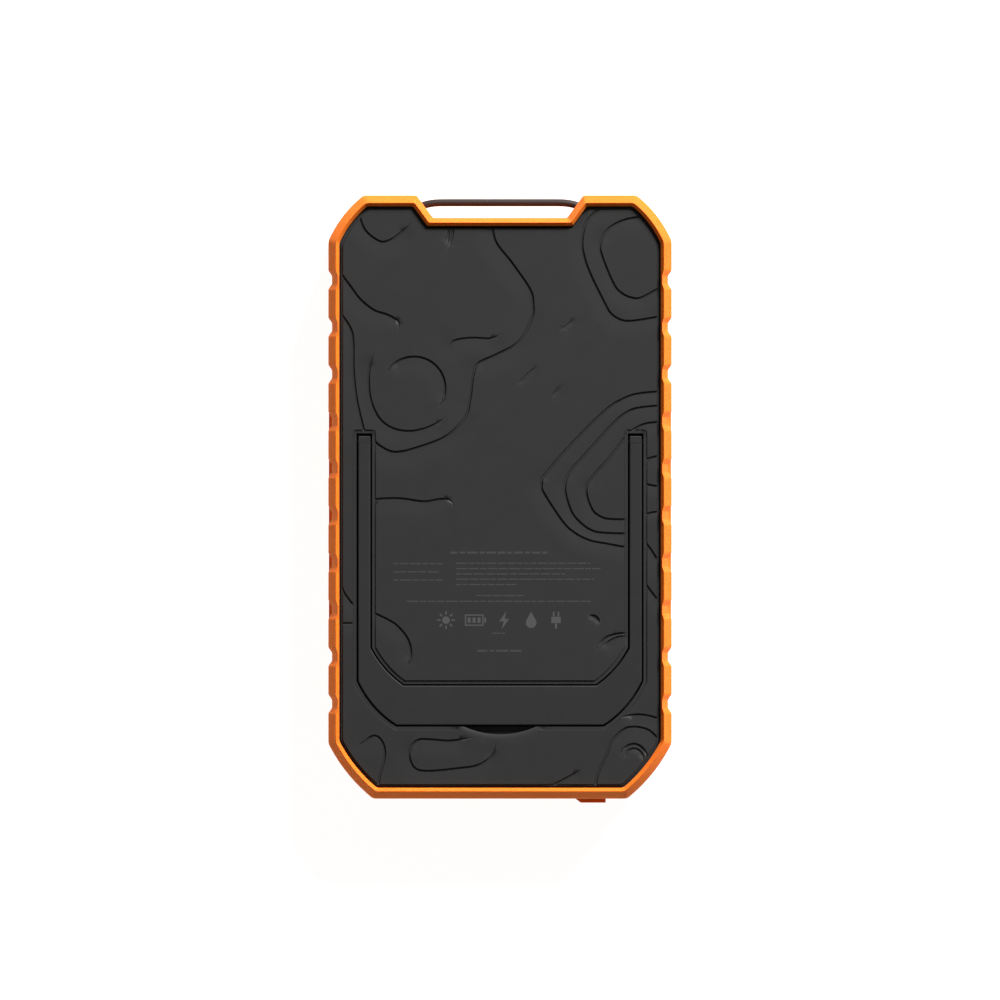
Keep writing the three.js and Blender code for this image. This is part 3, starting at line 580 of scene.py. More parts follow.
def outline(inset, wall=None, floor=None, levels=True):
    """The body's outline moved inwards, counter-clockwise from the middle of the bottom.

    The notch's slanted walls and its floor can have insets of their own. levels adds the
    points that the grooves and the port window need. Every inset gives as many points.
    """
    wall = inset if wall is None else wall
    floor = inset if floor is None else floor
    bottom = -HALF_LENGTH + inset
    side = HALF_WIDTH - inset
    top = HALF_LENGTH - inset
    low_radius = LOWER_ARC["radius"] - inset
    high_radius = UPPER_ARC["radius"] - inset
    c1 = LOWER_CENTRE
    c2 = UPPER_CENTRE
    p1 = Vector((c1.x + math.sqrt(low_radius ** 2 - (bottom - c1.y) ** 2), bottom))
    p2 = Vector((side, c1.y - math.sqrt(low_radius ** 2 - (side - c1.x) ** 2)))
    p3 = Vector((side, c2.y + math.sqrt(high_radius ** 2 - (side - c2.x) ** 2)))
    p4 = Vector((c2.x + math.sqrt(high_radius ** 2 - (top - c2.y) ** 2), top))
    slope = Vector((NOTCH["top"] - NOTCH["floor"], NOTCH["depth"])).normalized()
    p5 = Vector((NOTCH["top"] + (wall - slope.x * inset) / slope.y, top))
    p6 = Vector((
        NOTCH["floor"] + (wall - slope.x * floor) / slope.y,
        HALF_LENGTH - NOTCH["depth"] - floor,
    ))
    nudge = CORNER_ROUND / low_radius
    low_arc = arc_points(c1, low_radius, angle_at(c1, p1) + nudge, angle_at(c1, p2) - nudge, 12)
    nudge = CORNER_ROUND / high_radius
    high_arc = arc_points(c2, high_radius, angle_at(c2, p3) + nudge, angle_at(c2, p4) - nudge, 10)
    right = []
    if levels:
        limit = p1.x - CORNER_ROUND - 0.05
        right += [Vector((min(x, limit - 0.05 * (3 - k)), bottom)) for k, x in enumerate(BOTTOM_LEVELS)]
    right += rounded(Vector((0, bottom)), p1, low_arc[0], CORNER_ROUND)[:-1]
    right += low_arc
    right += rounded(low_arc[-1], p2, p3, CORNER_ROUND)[1:]
    if levels:
        right += [Vector((side, y)) for y in SIDE_LEVELS]
    right += rounded(p2, p3, high_arc[0], CORNER_ROUND)[:-1]
    right += high_arc
    right += rounded(high_arc[-1], p4, p5, CORNER_ROUND)[1:]
    right += rounded(p4, p5, p6, NOTCH_ROUND)
    right += rounded(p5, p6, Vector((0, p6.y)), NOTCH_ROUND)
    return [Vector((0, bottom))] + right + [Vector((0, p6.y))] + mirrored(right)


# ---- orange bumper --------------------------------------------------------------------------

# Section of the ring: inset, z, how far a groove pushes it in, and whether it is below the rail.
BUMPER_SECTION = [
    (0, 3.0, 1, True), (0, WINDOW["low"], 1, True), (0, RAIL_Z - 0.2, 1, True),
    (0, RAIL_Z + 0.2, 1, False), (0, WINDOW["high"], 1, False), (0, 19.0, 1, False),
    (0.06, 19.45, 1, False), (0.3, 19.9, 0.95, False),
    (1.72, 21.8, 0.55, False), (1.81, 21.94, 0.52, False), (1.91, 22.0, 0.5, False),
    (2.03, 21.9, 0.45, False), (2.6, 21.1, 0.05, False), (2.69, 20.95, 0, False),
    (2.7, 20.75, 0, False), (2.7, 20.3, 0, False), (2.1, 20.3, 0, False),
    (2.1, WINDOW["high"], 0, False), (2.1, RAIL_Z + 0.2, 0, False), (2.1, RAIL_Z - 0.2, 0, True),
    (2.1, WINDOW["low"], 0, True), (2.1, 1.7, 0, True), (2.7, 1.7, 0, True), (2.7, 0.6, 0, True),
    (2.62, 0.25, 0, True), (2.35, 0.03, 0, True), (1.6, 0, 0.2, True), (1.38, 0.08, 0.3, True),
    (0.3, 1.3, 0.9, True), (0.07, 1.7, 1, True), (0, 2.2, 1, True),
]


def groove_push(y, below_rail):
    """How deep the grooves are at a height on the side, from 0 to 1."""
    index = round((GROOVE["first"] - y) / GROOVE["pitch"])
    if not 0 <= index < GROOVE["count"] or (below_rail and index in RAIL_GROOVES):
        return 0.0
    away = abs(y - (GROOVE["first"] - GROOVE["pitch"] * index))
    share = (GROOVE["mouth"] - away) / (GROOVE["mouth"] - GROOVE["floor"])
    return float(min(1, max(0, share)))


def bumper_ring(inset, z, push, below_rail):
    """One loop of the ring, with the narrower notch chamfers and the grooves worked in."""
    if z > CHAMFER_Z:
        outer = min(inset, RIDGE)
        inner = inset - outer
        wall = outer * RIDGE_ON_WALL / RIDGE + inner
        floor = outer * RIDGE_ON_FLOOR / RIDGE + inner
    else:
        wall = inset
        floor = inset
    points = outline(inset, wall, floor)
    loop = []
    for point in points:
        x, y = point
        if abs(abs(x) - (HALF_WIDTH - inset)) < 0.001 and push:
            x -= math.copysign(GROOVE["depth"] * push * groove_push(y, below_rail), x)
        loop.append((x, y, z))
    return loop


def make_bumper():
    mesh_data = bmesh.new()
    loops = [add_loop(mesh_data, bumper_ring(*row)) for row in BUMPER_SECTION]
    around = len(loops[0])
    levels = len(loops)

    def in_window(level, column):
        low_row = min(BUMPER_SECTION[level][1], BUMPER_SECTION[(level + 1) % levels][1])
        high_row = max(BUMPER_SECTION[level][1], BUMPER_SECTION[(level + 1) % levels][1])
        upright = BUMPER_SECTION[level][0] == BUMPER_SECTION[(level + 1) % levels][0]
        rows = upright and low_row > WINDOW["low"] - 0.01 and high_row < WINDOW["high"] + 0.01
        ends = [loops[0][column].co, loops[0][(column + 1) % around].co]
        low = min(p.x for p in ends) > WINDOW["left"] - 0.01
        high = max(p.x for p in ends) < WINDOW["right"] + 0.01
        return rows and low and high and max(p.y for p in ends) < -HALF_LENGTH + 1

    cut = set()
    for level in range(levels):
        for column in range(around):
            following = (column + 1) % around
            if in_window(level, column):
                cut.add((level, column))
                continue
            lower = loops[level]
            upper = loops[(level + 1) % levels]
            mesh_data.faces.new((lower[column], lower[following], upper[following], upper[column]))
    # The window's jambs join the outer wall's rows 1 to 4 to the inner wall's rows 20 to 17.
    outer_rows = [1, 2, 3, 4]
    inner_rows = [20, 19, 18, 17]
    columns = sorted({column for _, column in cut})
    first = next(c for c in columns if (c - 1) % around not in columns)
    last = next(c for c in columns if (c + 1) % around not in columns)
    for column in (first, (last + 1) % around):
        for k in range(3):
            a, b = outer_rows[k], outer_rows[k + 1]
            c, d = inner_rows[k + 1], inner_rows[k]
            mesh_data.faces.new([loops[row][column] for row in (a, b, c, d)])
    for column in columns:
        following = (column + 1) % around
        for outer_row, inner_row in ((1, 20), (4, 17)):
            mesh_data.faces.new((
                loops[outer_row][column], loops[outer_row][following],
                loops[inner_row][following], loops[inner_row][column],
            ))
    finish_piece("bumper_ring", mesh_data, "root", "bumper_rubber", ["bumper"], sharp=24)


# ---- stand, and the slot it lies in ---------------------------------------------------------


def stand_outline(arm_top):
    """The stand's U, counter-clockwise from the left end of its foot."""
    half = []
    outer = {
        "from": (STAND["outer_foot"], STAND["bottom"]),
        "to": (STAND["outer"], STAND["outer_corner"]),
        "radius": STAND["radius"],
    }
    inner = {
        "from": (STAND["inner_foot"], STAND["inner_bottom"]),
        "to": (STAND["inner"], STAND["inner_corner"]),
        "radius": STAND["radius"],
    }
    for arc, backwards in ((outer, False), (inner, True)):
        centre = arc_centre(arc)
        start = angle_at(centre, arc["from"])
        end = angle_at(centre, arc["to"])
        points = arc_points(centre, arc["radius"], start, end, 12)
        half.append(list(reversed(points)) if backwards else points)
    arm = [Vector((STAND["outer"], arm_top)), Vector((STAND["inner"], arm_top))]
    right = half[0] + arm + half[1]
    return right + mirrored(right)


def make_stand():
    low = STAND["pivot_z"] - STAND["thick"] / 2
    high = low + STAND["thick"]
    shape = stand_outline(STAND["pivot_y"])
    levels = [
        (grown(shape, -0.25), low), (shape, low + 0.25), (shape, high - 0.34),
        (grown(shape, -0.1), high - 0.1), (grown(shape, -0.34), high),
    ]
    mesh_data = bmesh.new()
    add_stack(mesh_data, levels)
    # The arms end in a knuckle: round below, so that it can turn, and nearly square on top.
    radius = STAND["thick"] / 2
    square = radius - KNUCKLE_ROUND
    profile = arc_points((0, 0), radius, -math.pi, 0, 20)
    profile += arc_points((square, square), KNUCKLE_ROUND, 0, math.pi / 2, 6)
    profile += arc_points((0, 0), radius, math.pi / 2, math.pi, 10)[:-1]
    inner = STAND["inner"]
    outer = STAND["outer"]
    ends = ((inner + 0.01, 0.87), (inner + 0.2, 1), (outer - 0.2, 1), (outer - 0.01, 0.87))
    for side in (-1, 1):
        knuckle = bmesh.new()
        loops = []
        for x, scale in ends:
            ring = []
            for point in profile:
                y = STAND["pivot_y"] + point.x * scale
                z = STAND["pivot_z"] + point.y * scale
                ring.append((side * x, y, z))
            loops.append(add_loop(knuckle, ring))
        cap_ends(knuckle, loops)
        bmesh.ops.recalc_face_normals(knuckle, faces=knuckle.faces)
        mesh_data = combined(mesh_data, knuckle, "UNION")
    finish_piece("kickstand_frame", mesh_data, "kickstand", "stand_plastic", ["kickstand"])


# ---- back cover with its relief -------------------------------------------------------------

STAND_SHAPE = stand_outline(SLOT_TOP - SLOT_GAP)
NOTCH_RADIUS = (FINGER_NOTCH["half"] ** 2 + FINGER_NOTCH["depth"] ** 2) / 2 / FINGER_NOTCH["depth"]
NOTCH_CENTRE = (0, STAND["bottom"] - SLOT_GAP - FINGER_NOTCH["depth"] + NOTCH_RADIUS)


def slot_outline():
    """The slot's edge: the stand's outline grown by the gap, with the finger notch below it."""
    points = grown(STAND_SHAPE, SLOT_GAP)
    half_angle = math.asin(FINGER_NOTCH["half"] / NOTCH_RADIUS)
    down = -math.pi / 2
    # The outline closes along the stand's lower edge, which is where the notch opens.
    return points + arc_points(NOTCH_CENTRE, NOTCH_RADIUS, down - half_angle, down + half_angle, 24)


def relief_lines():
    """Every relief line as (line of points, fade flags, depth, reach)."""
    lines = []
    for fade_start, fade_end, depth, reach, points in RELIEF:
        lines.append((smooth_line(points, LINE_STEP), (fade_start, fade_end), depth, reach))
    for x, y, radius, start, end, depth, reach in RELIEF_ARCS:
        steps = max(8, round(radius * math.radians(abs(start - end)) / ARC_STEP))
        ring = arc_points((x, y), radius, math.radians(start), math.radians(end), steps)
        lines.append((np.array(ring), (1, 1), depth, reach))
    return lines


LINES = relief_lines()


def nearest(places, line, closed=False):
    """Distance and way to the nearest point of a line, and how far along the line that is."""
    start = line if closed else line[:-1]
    end = np.roll(line, -1, axis=0) if closed else line[1:]
    step = end - start
    size = (step ** 2).sum(1)
    relative = places[:, None, :] - start[None]
    share = np.clip((relative * step).sum(2) / size, 0, 1)
    gap = relative - share[..., None] * step
    distance = (gap ** 2).sum(2)
    pick = distance.argmin(1)
    rows = np.arange(len(places))
    before = np.concatenate([[0], np.cumsum(np.sqrt(size))])[:-1]
    along = before[pick] + share[rows, pick] * np.sqrt(size[pick])
    return np.sqrt(distance[rows, pick]), gap[rows, pick], along, np.sqrt(size).sum()


def relief_drop(places):
    """How far the relief lies below the cover's highest level at each place."""
    drop = np.zeros(len(places))
    for line, (fade_start, fade_end), depth, reach in LINES:
        low = line.min(0) - reach
        high = line.max(0) + reach
        close = np.where(((places > low) & (places < high)).all(1))[0]
        if not len(close):
            continue
        distance, gap, along, total = nearest(places[close], line)
        toward = (gap[:, 0] * LIGHT_X + gap[:, 1] * LIGHT_Y) / np.maximum(distance, 1e-6)
        lee = smoothstep((0.62 - toward) / 1.1)
        slope = STEP_SHARE * lee * (1 - smoothstep((distance - LINE_HALF) / (reach - LINE_HALF)))
        taper = np.ones(len(close))
        fade = min(FADE, FADE_SHARE * total)
        if fade_start:
            taper *= smoothstep(along / fade)
        if fade_end:
            taper *= smoothstep((total - along) / fade)
        groove = np.clip((LINE_HALF * taper + WALL / 2 - distance) / WALL, 0, 1)
        drop[close] = np.maximum(drop[close], depth * taper * np.maximum(groove, slope * taper))
    return drop


def cover_outline(inset):
    """The cover's outline, which comes closer to the edge in the hang bar's notch."""
    wall = inset - (RIDGE - RIDGE_ON_WALL)
    floor = inset - (RIDGE - RIDGE_ON_FLOOR)
    return outline(inset, wall, floor, levels=False)


STEP_LINE = np.array(cover_outline(STEP_INSET))
SLOT_LINE = np.array(grown(STAND_SHAPE, SLOT_GAP))


def inside(places, polygon):
    """True where a place is inside a closed outline."""
    x, y = places[:, 0], places[:, 1]
    result = np.zeros(len(places), bool)
    for (x0, y0), (x1, y1) in zip(polygon, np.roll(polygon, -1, axis=0)):
        if y0 == y1:
            continue
        crosses = (y0 > y) != (y1 > y)
        result ^= crosses & (x < (x1 - x0) * (y - y0) / (y1 - y0) + x0)
    return result


def cover_height(places):
    """Height of the back cover's surface."""
    height = BACK_Z - relief_drop(places)
    from_slot = nearest(places, SLOT_LINE, closed=True)[0]
    on_border = 1 - smoothstep((from_slot - BORDER) / WALL)
    height = height * (1 - on_border) + (BACK_Z - BORDER_DROP) * on_border
    from_notch = np.hypot(places[:, 0] - NOTCH_CENTRE[0], places[:, 1] - NOTCH_CENTRE[1]) - NOTCH_RADIUS
    by_notch = (from_notch < FINGER_NOTCH["fillet"]) & (places[:, 1] < STAND["bottom"] + 0.5)
    share = 1 - np.clip(from_notch / FINGER_NOTCH["fillet"], 0, 1)
    fillet = BACK_Z - FINGER_NOTCH["drop"] * share ** 2
    height = np.where(by_notch, np.minimum(np.maximum(height, BACK_Z - 0.02), fillet), height)
    from_step = nearest(places, STEP_LINE, closed=True)[0]
    signed = np.where(inside(places, STEP_LINE), from_step, -from_step)
    step = 1 - smoothstep(signed / WALL)
    return height * (1 - step) + (BACK_Z - STEP_DROP) * step


def make_cover():
    """The relief plate and, in the same piece, the lower part of the CAD housing."""
    edge = cover_outline(PLATE_INSET)
    hole = slot_outline()
    points = []
    edges = []

    def add_chain(chain, closed):
        first = len(points)
        points.extend(Vector((float(p[0]), float(p[1]))) for p in chain)
        count = len(chain)
        edges.extend((first + i, first + (i + 1) % count) for i in range(count if closed else count - 1))

    def finely(chain, step):
        """A closed outline with extra points on its long stretches."""
        fine = []
        for index, point in enumerate(chain):
            following = chain[(index + 1) % len(chain)]
            count = max(1, round((following - point).length / step))
            fine += [point.lerp(following, k / count) for k in range(count)]
        return fine

    edge = finely(edge, 2.0)
    hole = finely(hole, 1.5)
    add_chain(edge, True)
    add_chain(hole, True)
    step_line = [Vector(p) for p in STEP_LINE]
    add_chain(finely(step_line, 1.0), True)
    add_chain(finely(grown(step_line, -WALL), 1.0), True)
    for growth in (SLOT_GAP + BORDER, SLOT_GAP + BORDER + WALL):
        add_chain(finely(grown(STAND_SHAPE, growth), 1.0), True)
    half_angle = math.asin((FINGER_NOTCH["half"] + FINGER_NOTCH["fillet"]) / NOTCH_RADIUS)
    down = -math.pi / 2
    for growth in (WALL, 0.3, 0.6, FINGER_NOTCH["fillet"]):
        ring = arc_points(NOTCH_CENTRE, NOTCH_RADIUS + growth, down - half_angle, down + half_angle, 28)
        add_chain(ring, False)
    for line, _, _, _ in LINES:
        normals = left_normals(line)
        for offset in RELIEF_OFFSETS:
            add_chain(line + normals * offset, False)
    grid = []
    for row in range(-46, 47):
        for column in range(-26, 27):
            grid.append((column * GRID + (row % 2) * GRID / 2, row * GRID))
    grid = np.array(grid, float)
    clear = np.full(len(grid), 1e9)
    for line in [s[0] for s in LINES] + [np.array(edge), np.array(hole)]:
        clear = np.minimum(clear, nearest(grid, line)[0])
    points.extend(Vector((float(x), float(y))) for x, y in grid[clear > GRID_CLEARANCE])
    result = delaunay_2d_cdt(points, edges, [], 0, 1e-5)
    flat, triangles = result[0], result[2]
    places = np.array([(p.x, p.y) for p in flat])
    corners = np.array([list(t) for t in triangles])
    centres = places[corners].mean(1)
    kept = inside(centres, np.array(edge)) & ~inside(centres, np.array(hole))
    heights = cover_height(places)
    mesh_data = bmesh.new()
    verts = {}
    for triangle in corners[kept]:
        for index in triangle:
            if index not in verts:
                verts[index] = mesh_data.verts.new((places[index][0], places[index][1], heights[index]))
        mesh_data.faces.new([verts[index] for index in triangle])
    rim = [e for e in mesh_data.edges if len(e.link_faces) == 1]
    extruded = bmesh.ops.extrude_edge_only(mesh_data, edges=rim)["geom"]
    for vert in (g for g in extruded if isinstance(g, bmesh.types.BMVert)):
        vert.co.z = PLATE_BASE_Z
    base = [g for g in extruded if isinstance(g, bmesh.types.BMEdge) and len(g.link_faces) == 1]
    bmesh.ops.triangle_fill(mesh_data, edges=base, use_beauty=True)

    # Below the relief plate comes the CAD housing itself, cut off flat.
    lower = bmesh.new()
    lower.from_mesh(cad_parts["back_housing"].data)
    bmesh.ops.transform(lower, matrix=TO_ROW.inverted(), verts=lower.verts)
    bmesh.ops.remove_doubles(lower, verts=lower.verts, dist=0.001)
    bmesh.ops.bisect_plane(
        lower, geom=list(lower.verts) + list(lower.edges) + list(lower.faces),
        plane_co=(0, 0, CUT_Z), plane_no=(0, 0, 1), clear_outer=True,
    )
    open_edges = [e for e in lower.edges if len(e.link_faces) == 1]
    bmesh.ops.triangle_fill(lower, edges=open_edges, use_beauty=True)
    scratch = new_mesh("scratch", lower)
    if "custom_normal" in scratch.attributes:
        scratch.attributes.remove(scratch.attributes["custom_normal"])
    mesh_data.from_mesh(scratch)
    bpy.data.meshes.remove(scratch)
    finish_piece(
        "back_cover", mesh_data, "root", "cover_plastic", ["back_housing"], sharp=45, even_normals=False,
    )


# ---- hang bar -------------------------------------------------------------------------------


def make_hang_bar():
    """A bent steel bar whose ends run into the bumper's notch walls."""
    drops = [(0, 0), (6, 0), (13, 0), (15.6, -0.05), (17.5, -0.3), (19.5, -0.9), (22, -2), (24.5, -3.2)]
    right = [(x, BAR["y"] + drop, BAR["z"]) for x, drop in drops]
    left = [(-x, y, z) for x, y, z in reversed(right[1:])]
    path = smooth_line(left + right, 0.8)
    mesh_data = bmesh.new()
    add_tube(mesh_data, path, [BAR["radius"]] * len(path), 24)
    finish_piece("hang_bar_rod", mesh_data, "root", "painted_steel", ["hang_bar"], sharp=60)


# ---- printed label --------------------------------------------------------------------------

INK = 0.02


def add_print(mesh_data, shape):
    """A thin printed patch that follows the cover's surface."""
    places = np.array([(p[0], p[1]) for p in shape])
    heights = cover_height(places)
    low = add_loop(mesh_data, [(x, y, z - 0.05) for (x, y), z in zip(places, heights)])
    high = add_loop(mesh_data, [(x, y, z + INK) for (x, y), z in zip(places, heights)])
    bridge(mesh_data, low, high)
    mesh_data.faces.new(list(reversed(low)))
    mesh_data.faces.new(high)


def bar_shape(x0, x1, y0, y1):
    return [(x0, y0), (x1, y0), (x1, y1), (x0, y1)]


def add_words(mesh_data, x0, x1, y, height, dice):
    """A line of plain dashes that stand for words."""
    x = x0
    while x < x1 - 0.5:
        length = min(dice.uniform(1.1, 3.2), x1 - x)
        add_print(mesh_data, bar_shape(x, x + length, y - height / 2, y + height / 2))
        x += length + height * 0.9


def add_sun(mesh_data, x, y, size):
    add_print(mesh_data, circle_points((x, y), size * 0.42, 24))
    for ray in range(8):
        angle = math.pi / 4 * ray
        along = Vector((math.cos(angle), math.sin(angle)))
        side = Vector((-along.y, along.x)) * size * 0.08
        near = Vector((x, y)) + along * size * 0.6
        far = Vector((x, y)) + along * size
        add_print(mesh_data, [near - side, far - side, far + side, near + side])


def add_battery(mesh_data, x, y, width, height):
    line = 0.32
    add_print(mesh_data, bar_shape(x - width / 2, x + width / 2, y - height / 2, y - height / 2 + line))
    add_print(mesh_data, bar_shape(x - width / 2, x + width / 2, y + height / 2 - line, y + height / 2))
    for edge in (x - width / 2, x + width / 2 - line):
        add_print(mesh_data, bar_shape(edge, edge + line, y - height / 2 + line, y + height / 2 - line))
    add_print(mesh_data, bar_shape(x + width / 2 + 0.15, x + width / 2 + 0.6, y - height / 5, y + height / 5))
    for cell in range(3):
        left = x - width / 2 + line + 0.35 + cell * (width - 2 * line - 0.35) / 3
        add_print(mesh_data, bar_shape(left, left + width / 6, y - height / 2 + 0.75, y + height / 2 - 0.75))


def add_bolt(mesh_data, x, y, size):
    corners = [(0.25, 1), (-0.55, -0.15), (-0.05, -0.15), (-0.25, -1), (0.55, 0.15), (0.05, 0.15)]
    add_print(mesh_data, [(x + a * size, y + b * size) for a, b in corners])


def add_drop(mesh_data, x, y, size):
    belly = arc_points((x, y - size * 0.3), size * 0.62, math.radians(-215), math.radians(35), 20)
    add_print(mesh_data, belly + [Vector((x, y + size))])


def add_plug(mesh_data, x, y, size):
    add_print(mesh_data, bar_shape(x - size * 0.55, x + size * 0.55, y - size * 0.35, y + size * 0.4))
    for prong in (-0.28, 0.28):
        middle = x + prong * size
        add_print(mesh_data, bar_shape(middle - size * 0.1, middle + size * 0.1, y + size * 0.45, y + size))
    add_print(mesh_data, bar_shape(x - size * 0.12, x + size * 0.12, y - size, y - size * 0.4))


def make_label():
    """Generic marks where such a product carries its print: dashes for words; make_pictograms adds the
    pictograms.
    """
    dice = random.Random(7)
    mesh_data = bmesh.new()
    small = 0.34
    add_words(mesh_data, -12.2, 11.7, -13.6, 0.55, dice)
    for row in range(3):
        add_words(mesh_data, -26.0, -14.0 - row % 2, -16.3 - 2.0 * row, small, dice)
    for row, end in enumerate((22, 25.2, 16, 23, 4)):
        add_words(mesh_data, -10.8, end, -16.2 - 1.3 * row, small, dice)
    add_words(mesh_data, -5.8, 5.9, -24.1, small, dice)
    add_words(mesh_data, -22.9, 22.7, -25.5, small, dice)
    add_words(mesh_data, -2.0, 1.2, -33.3, small, dice)
    add_words(mesh_data, -5.6, 5.6, -37.6, 0.5, dice)
    finish_piece("label_text", mesh_data, "root", "cover_plastic", look="text_ink", even_normals=False)


def make_pictograms():
    """A row of plain signs: sun, battery, bolt, drop and plug."""
    mesh_data = bmesh.new()
    icon_y = -30.1
    add_sun(mesh_data, -13.2, icon_y, 2.2)
    add_battery(mesh_data, -6.3, icon_y, 4.6, 2.8)
    add_bolt(mesh_data, 1.0, icon_y, 2.2)
    add_drop(mesh_data, 7.6, icon_y, 2.1)
    add_plug(mesh_data, 13.7, icon_y, 2.1)
    finish_piece("label_pictograms", mesh_data, "root", "cover_plastic", look="sign_ink", even_normals=False)


# ---- front side: screws, button, contacts ---------------------------------------------------


def add_lathe(mesh_data, profile, x, y, sides=48):
    """A closed turned body from (radius, z) points, with flat ends."""
    loops = []
    for radius, z in profile:
        loops.append(add_loop(mesh_data, circle_points((x, y), radius, sides), z))
    cap_ends(mesh_data, loops)


def add_block(mesh_data, low, high):
    shape = bar_shape(low[0], high[0], low[1], high[1])
    add_stack(mesh_data, [(shape, low[2]), (shape, high[2])])


def node_box(node):
    """A node's lowest and highest corners in the body's millimetres."""
    back = TO_ROW.inverted()
    low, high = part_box(node)
    return back @ low, back @ high


def make_screw(node):
    """A cross-head screw whose head faces the front."""
    low, high = node_box(node)
    x = (low.x + high.x) / 2
    y = (low.y + high.y) / 2
    head = (high.x - low.x) / 2
    mesh_data = bmesh.new()
    add_lathe(mesh_data, [
        (head - 0.55, low.z), (head - 0.3, low.z + 0.05), (head - 0.1, low.z + 0.2), (head, low.z + 0.5),
        (head, low.z + 1.15), (1.0, low.z + 1.15), (1.0, high.z - 0.6), (0.2, high.z),
    ], x, y)
    bmesh.ops.recalc_face_normals(mesh_data, faces=mesh_data.faces)
    for half_x, half_y in ((1.05, 0.24), (0.24, 1.05)):
        blade = bmesh.new()
        wide = bar_shape(x - half_x, x + half_x, y - half_y, y + half_y)
        narrow = bar_shape(x - half_x * 0.6, x + half_x * 0.6, y - half_y * 0.6, y + half_y * 0.6)
        add_stack(blade, [(wide, low.z - 0.2), (wide, low.z + 0.1), (narrow, low.z + 0.75)])
        bmesh.ops.recalc_face_normals(blade, faces=blade.faces)
        mesh_data = combined(mesh_data, blade, "DIFFERENCE")
    finish_piece(node.replace("case", "cross"), mesh_data, "root", "steel", [node])


def make_button():
    """The round button, with a raised ring and bar on it."""
    low, high = node_box("power_button")
    y = (low.y + high.y) / 2
    radius = 4.4
    mesh_data = bmesh.new()
    add_lathe(mesh_data, [
        (3.1, low.z + 0.12), (3.5, low.z + 0.04), (3.75, low.z), (4.0, low.z + 0.03), (4.25, low.z + 0.16),
        (radius, low.z + 0.45), (radius, low.z + 3.5), (5.2, low.z + 3.5), (5.2, high.z - 0.25),
        (1.2, high.z - 0.25), (1.2, high.z),
    ], 0, y, 64)
    arc = arc_points((0, y), 1.5, math.radians(125), math.radians(415), 32)
    ring = [(p.x, p.y, low.z + 0.12) for p in arc]
    add_tube(mesh_data, ring, [0.16] * len(ring), 12, 0.6)
    stem = [(0, y + 0.5 + 0.35 * step, low.z + 0.12) for step in range(5)]
    add_tube(mesh_data, stem, [0.1, 0.16, 0.16, 0.16, 0.1], 12, 0.6)
    finish_piece("button_cap", mesh_data, "power_button", "bumper_rubber", ["power_button"])


def make_contacts():
    """Gold strips on the socket tongues."""
    for side in ("left", "right"):
        low, high = node_box("usb_a_tongue_" + side)
        middle = (low.x + high.x) / 2
        blade_low = (low.z + high.z) / 2 - 0.17
        mesh_data = bmesh.new()
        for place in (-3.5, -1.0, 1.0, 3.5):
            x = middle + place
            start = (x - 0.5, low.y + 0.9, blade_low - 0.06)
            end = (x + 0.5, low.y + 8, blade_low + 0.02)
            add_block(mesh_data, start, end)
        finish_piece("usb_a_contacts_" + side, mesh_data, "root", "socket_steel", look="contact_gold")
    low, high = node_box("usb_c_tongue")
    middle = (low.z + high.z) / 2
    mesh_data = bmesh.new()
    for index in range(12):
        x = (index - 5.5) * 0.5
        for face in (-1, 1):
            z = middle + face * 0.35
            add_block(mesh_data, (x - 0.13, low.y + 0.4, z - 0.03), (x + 0.13, low.y + 4, z + 0.03))
    finish_piece("usb_c_contacts", mesh_data, "root", "socket_steel", look="contact_gold")


# Rounding of the CAD pieces that keep their own shape, millimetres.
EDGE_ROUNDING = {
    "front_cover": 0.25, "port_cover": 0.3, "port_cover_anchor": 0.3, "port_frame": 0.12,
    "usb_a_socket_left": 0.08, "usb_a_socket_right": 0.08, "usb_c_socket": 0.06,
    "usb_a_tongue_left": 0.1, "usb_a_tongue_right": 0.1, "panel_sheet": 0.1, "boost_inductor": 0.3,
    "capacitor_1": 0.25, "capacitor_2": 0.25, "charge_controller": 0.08, "button_switch": 0.15,
    "battery_cell_front": 0.5, "battery_cell_back": 0.5, "foam_pad": 0.3,
}


def round_edges(node, width):
    """Welded, rounded and evenly shaded edges, as modifiers on the unchanged CAD mesh."""
    cad_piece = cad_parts[node]
    weld = cad_piece.modifiers.new("weld", "WELD")
    weld.merge_threshold = 0.01 * MM
    bevel = cad_piece.modifiers.new("rounding", "BEVEL")
    bevel.width = width * MM
    bevel.segments = 3
    bevel.limit_method = "ANGLE"
    bevel.angle_limit = math.radians(40)
    normals = cad_piece.modifiers.new("even_normals", "WEIGHTED_NORMAL")
    normals.keep_sharp = True


# ---- camera, light and floor ----------------------------------------------------------------

# In metres.
VIEW_WIDTH = 0.2445
CAMERA_AWAY = 2.5
CAMERA_BELOW_MIDDLE = 0.00072
SENSOR = 36
LIGHT_AIM = (0, 0, 0.01)
KEY_AWAY = 2.4
KEY_HEIGHT = 1.45
FLOOR_SIZE = 3


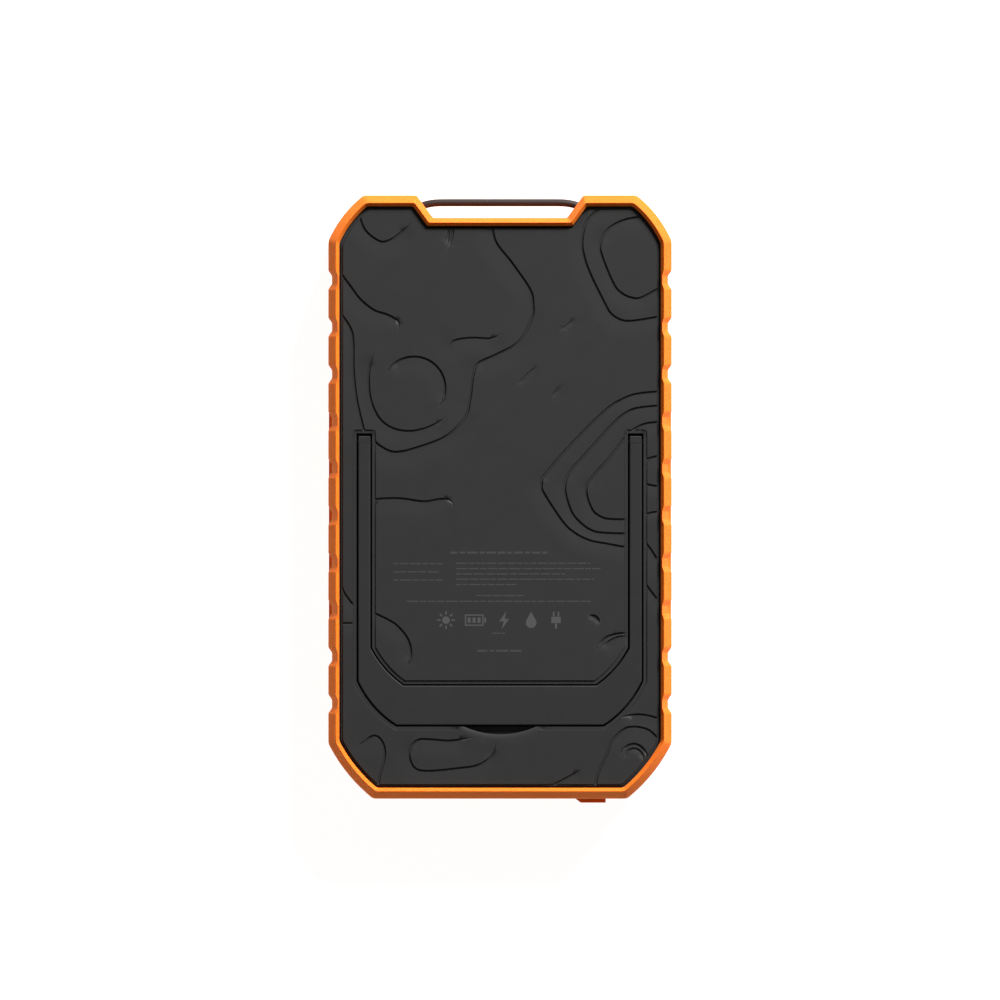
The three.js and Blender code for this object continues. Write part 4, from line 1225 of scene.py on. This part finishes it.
def make_camera():
    camera = bpy.data.cameras.new("camera")
    camera.sensor_width = SENSOR
    camera.lens = SENSOR * CAMERA_AWAY / VIEW_WIDTH
    holder = add_object("camera", camera)
    holder.location = (0, MIDDLE_Y - CAMERA_BELOW_MIDDLE, BACK_Z * MM + CAMERA_AWAY)
    bpy.context.scene.camera = holder


def make_light(name, place, size, power, colour=(1, 1, 1)):
    """A round soft light that shines at the middle of the object."""
    light = bpy.data.lights.new(name, "AREA")
    light.color = colour
    light.shape = "DISK"
    light.size = size
    light.energy = power
    holder = add_object(name, light)
    holder.location = place
    way = Vector(LIGHT_AIM) - holder.location
    holder.rotation_euler = way.to_track_quat("-Z", "Y").to_euler()


def make_floor():
    mesh_data = bmesh.new()
    bmesh.ops.create_grid(mesh_data, x_segments=8, y_segments=8, size=FLOOR_SIZE)
    floor = add_object("floor", new_mesh("floor", mesh_data))
    surface = Surface("floor_white")
    surface.put(surface.shader, {
        "Base Color": (0.35, 0.35, 0.35, 1), "Roughness": 0.9, "Specular IOR Level": 0.1,
        "Emission Color": (1, 1, 1, 1), "Emission Strength": 0.93,
    })
    floor.data.materials.append(looks["floor_white"])


def make_world():
    world = bpy.data.worlds.new("world")
    world.use_nodes = True
    background = world.node_tree.nodes["Background"]
    background.inputs["Color"].default_value = (1, 1, 1, 1)
    background.inputs["Strength"].default_value = 0.14
    bpy.context.scene.world = world


# ---- assembly -------------------------------------------------------------------------------

for node, cad_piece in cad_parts.items():
    cad_piece.data.materials.clear()
    cad_piece.data.materials.append(looks[slot_of[node]])

make_bumper()
make_cover()
make_stand()
make_hang_bar()
make_label()
make_pictograms()
for number in range(1, 7):
    make_screw(f"case_screw_{number}")
make_button()
make_contacts()
for node, width in EDGE_ROUNDING.items():
    round_edges(node, width)
for side in ("left", "right"):
    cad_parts["stand_pin_" + side].data.materials[0] = looks["oiled_steel"]

make_camera()
make_world()
make_floor()
make_light("key", (LIGHT_X * KEY_AWAY, LIGHT_Y * KEY_AWAY, KEY_HEIGHT), 1.0, 200)
make_light("fill", (-1.3, -0.3, 0.6), 0.8, 1.5, (1, 0.85, 0.7))
bpy.context.scene.view_settings.view_transform = "Standard"
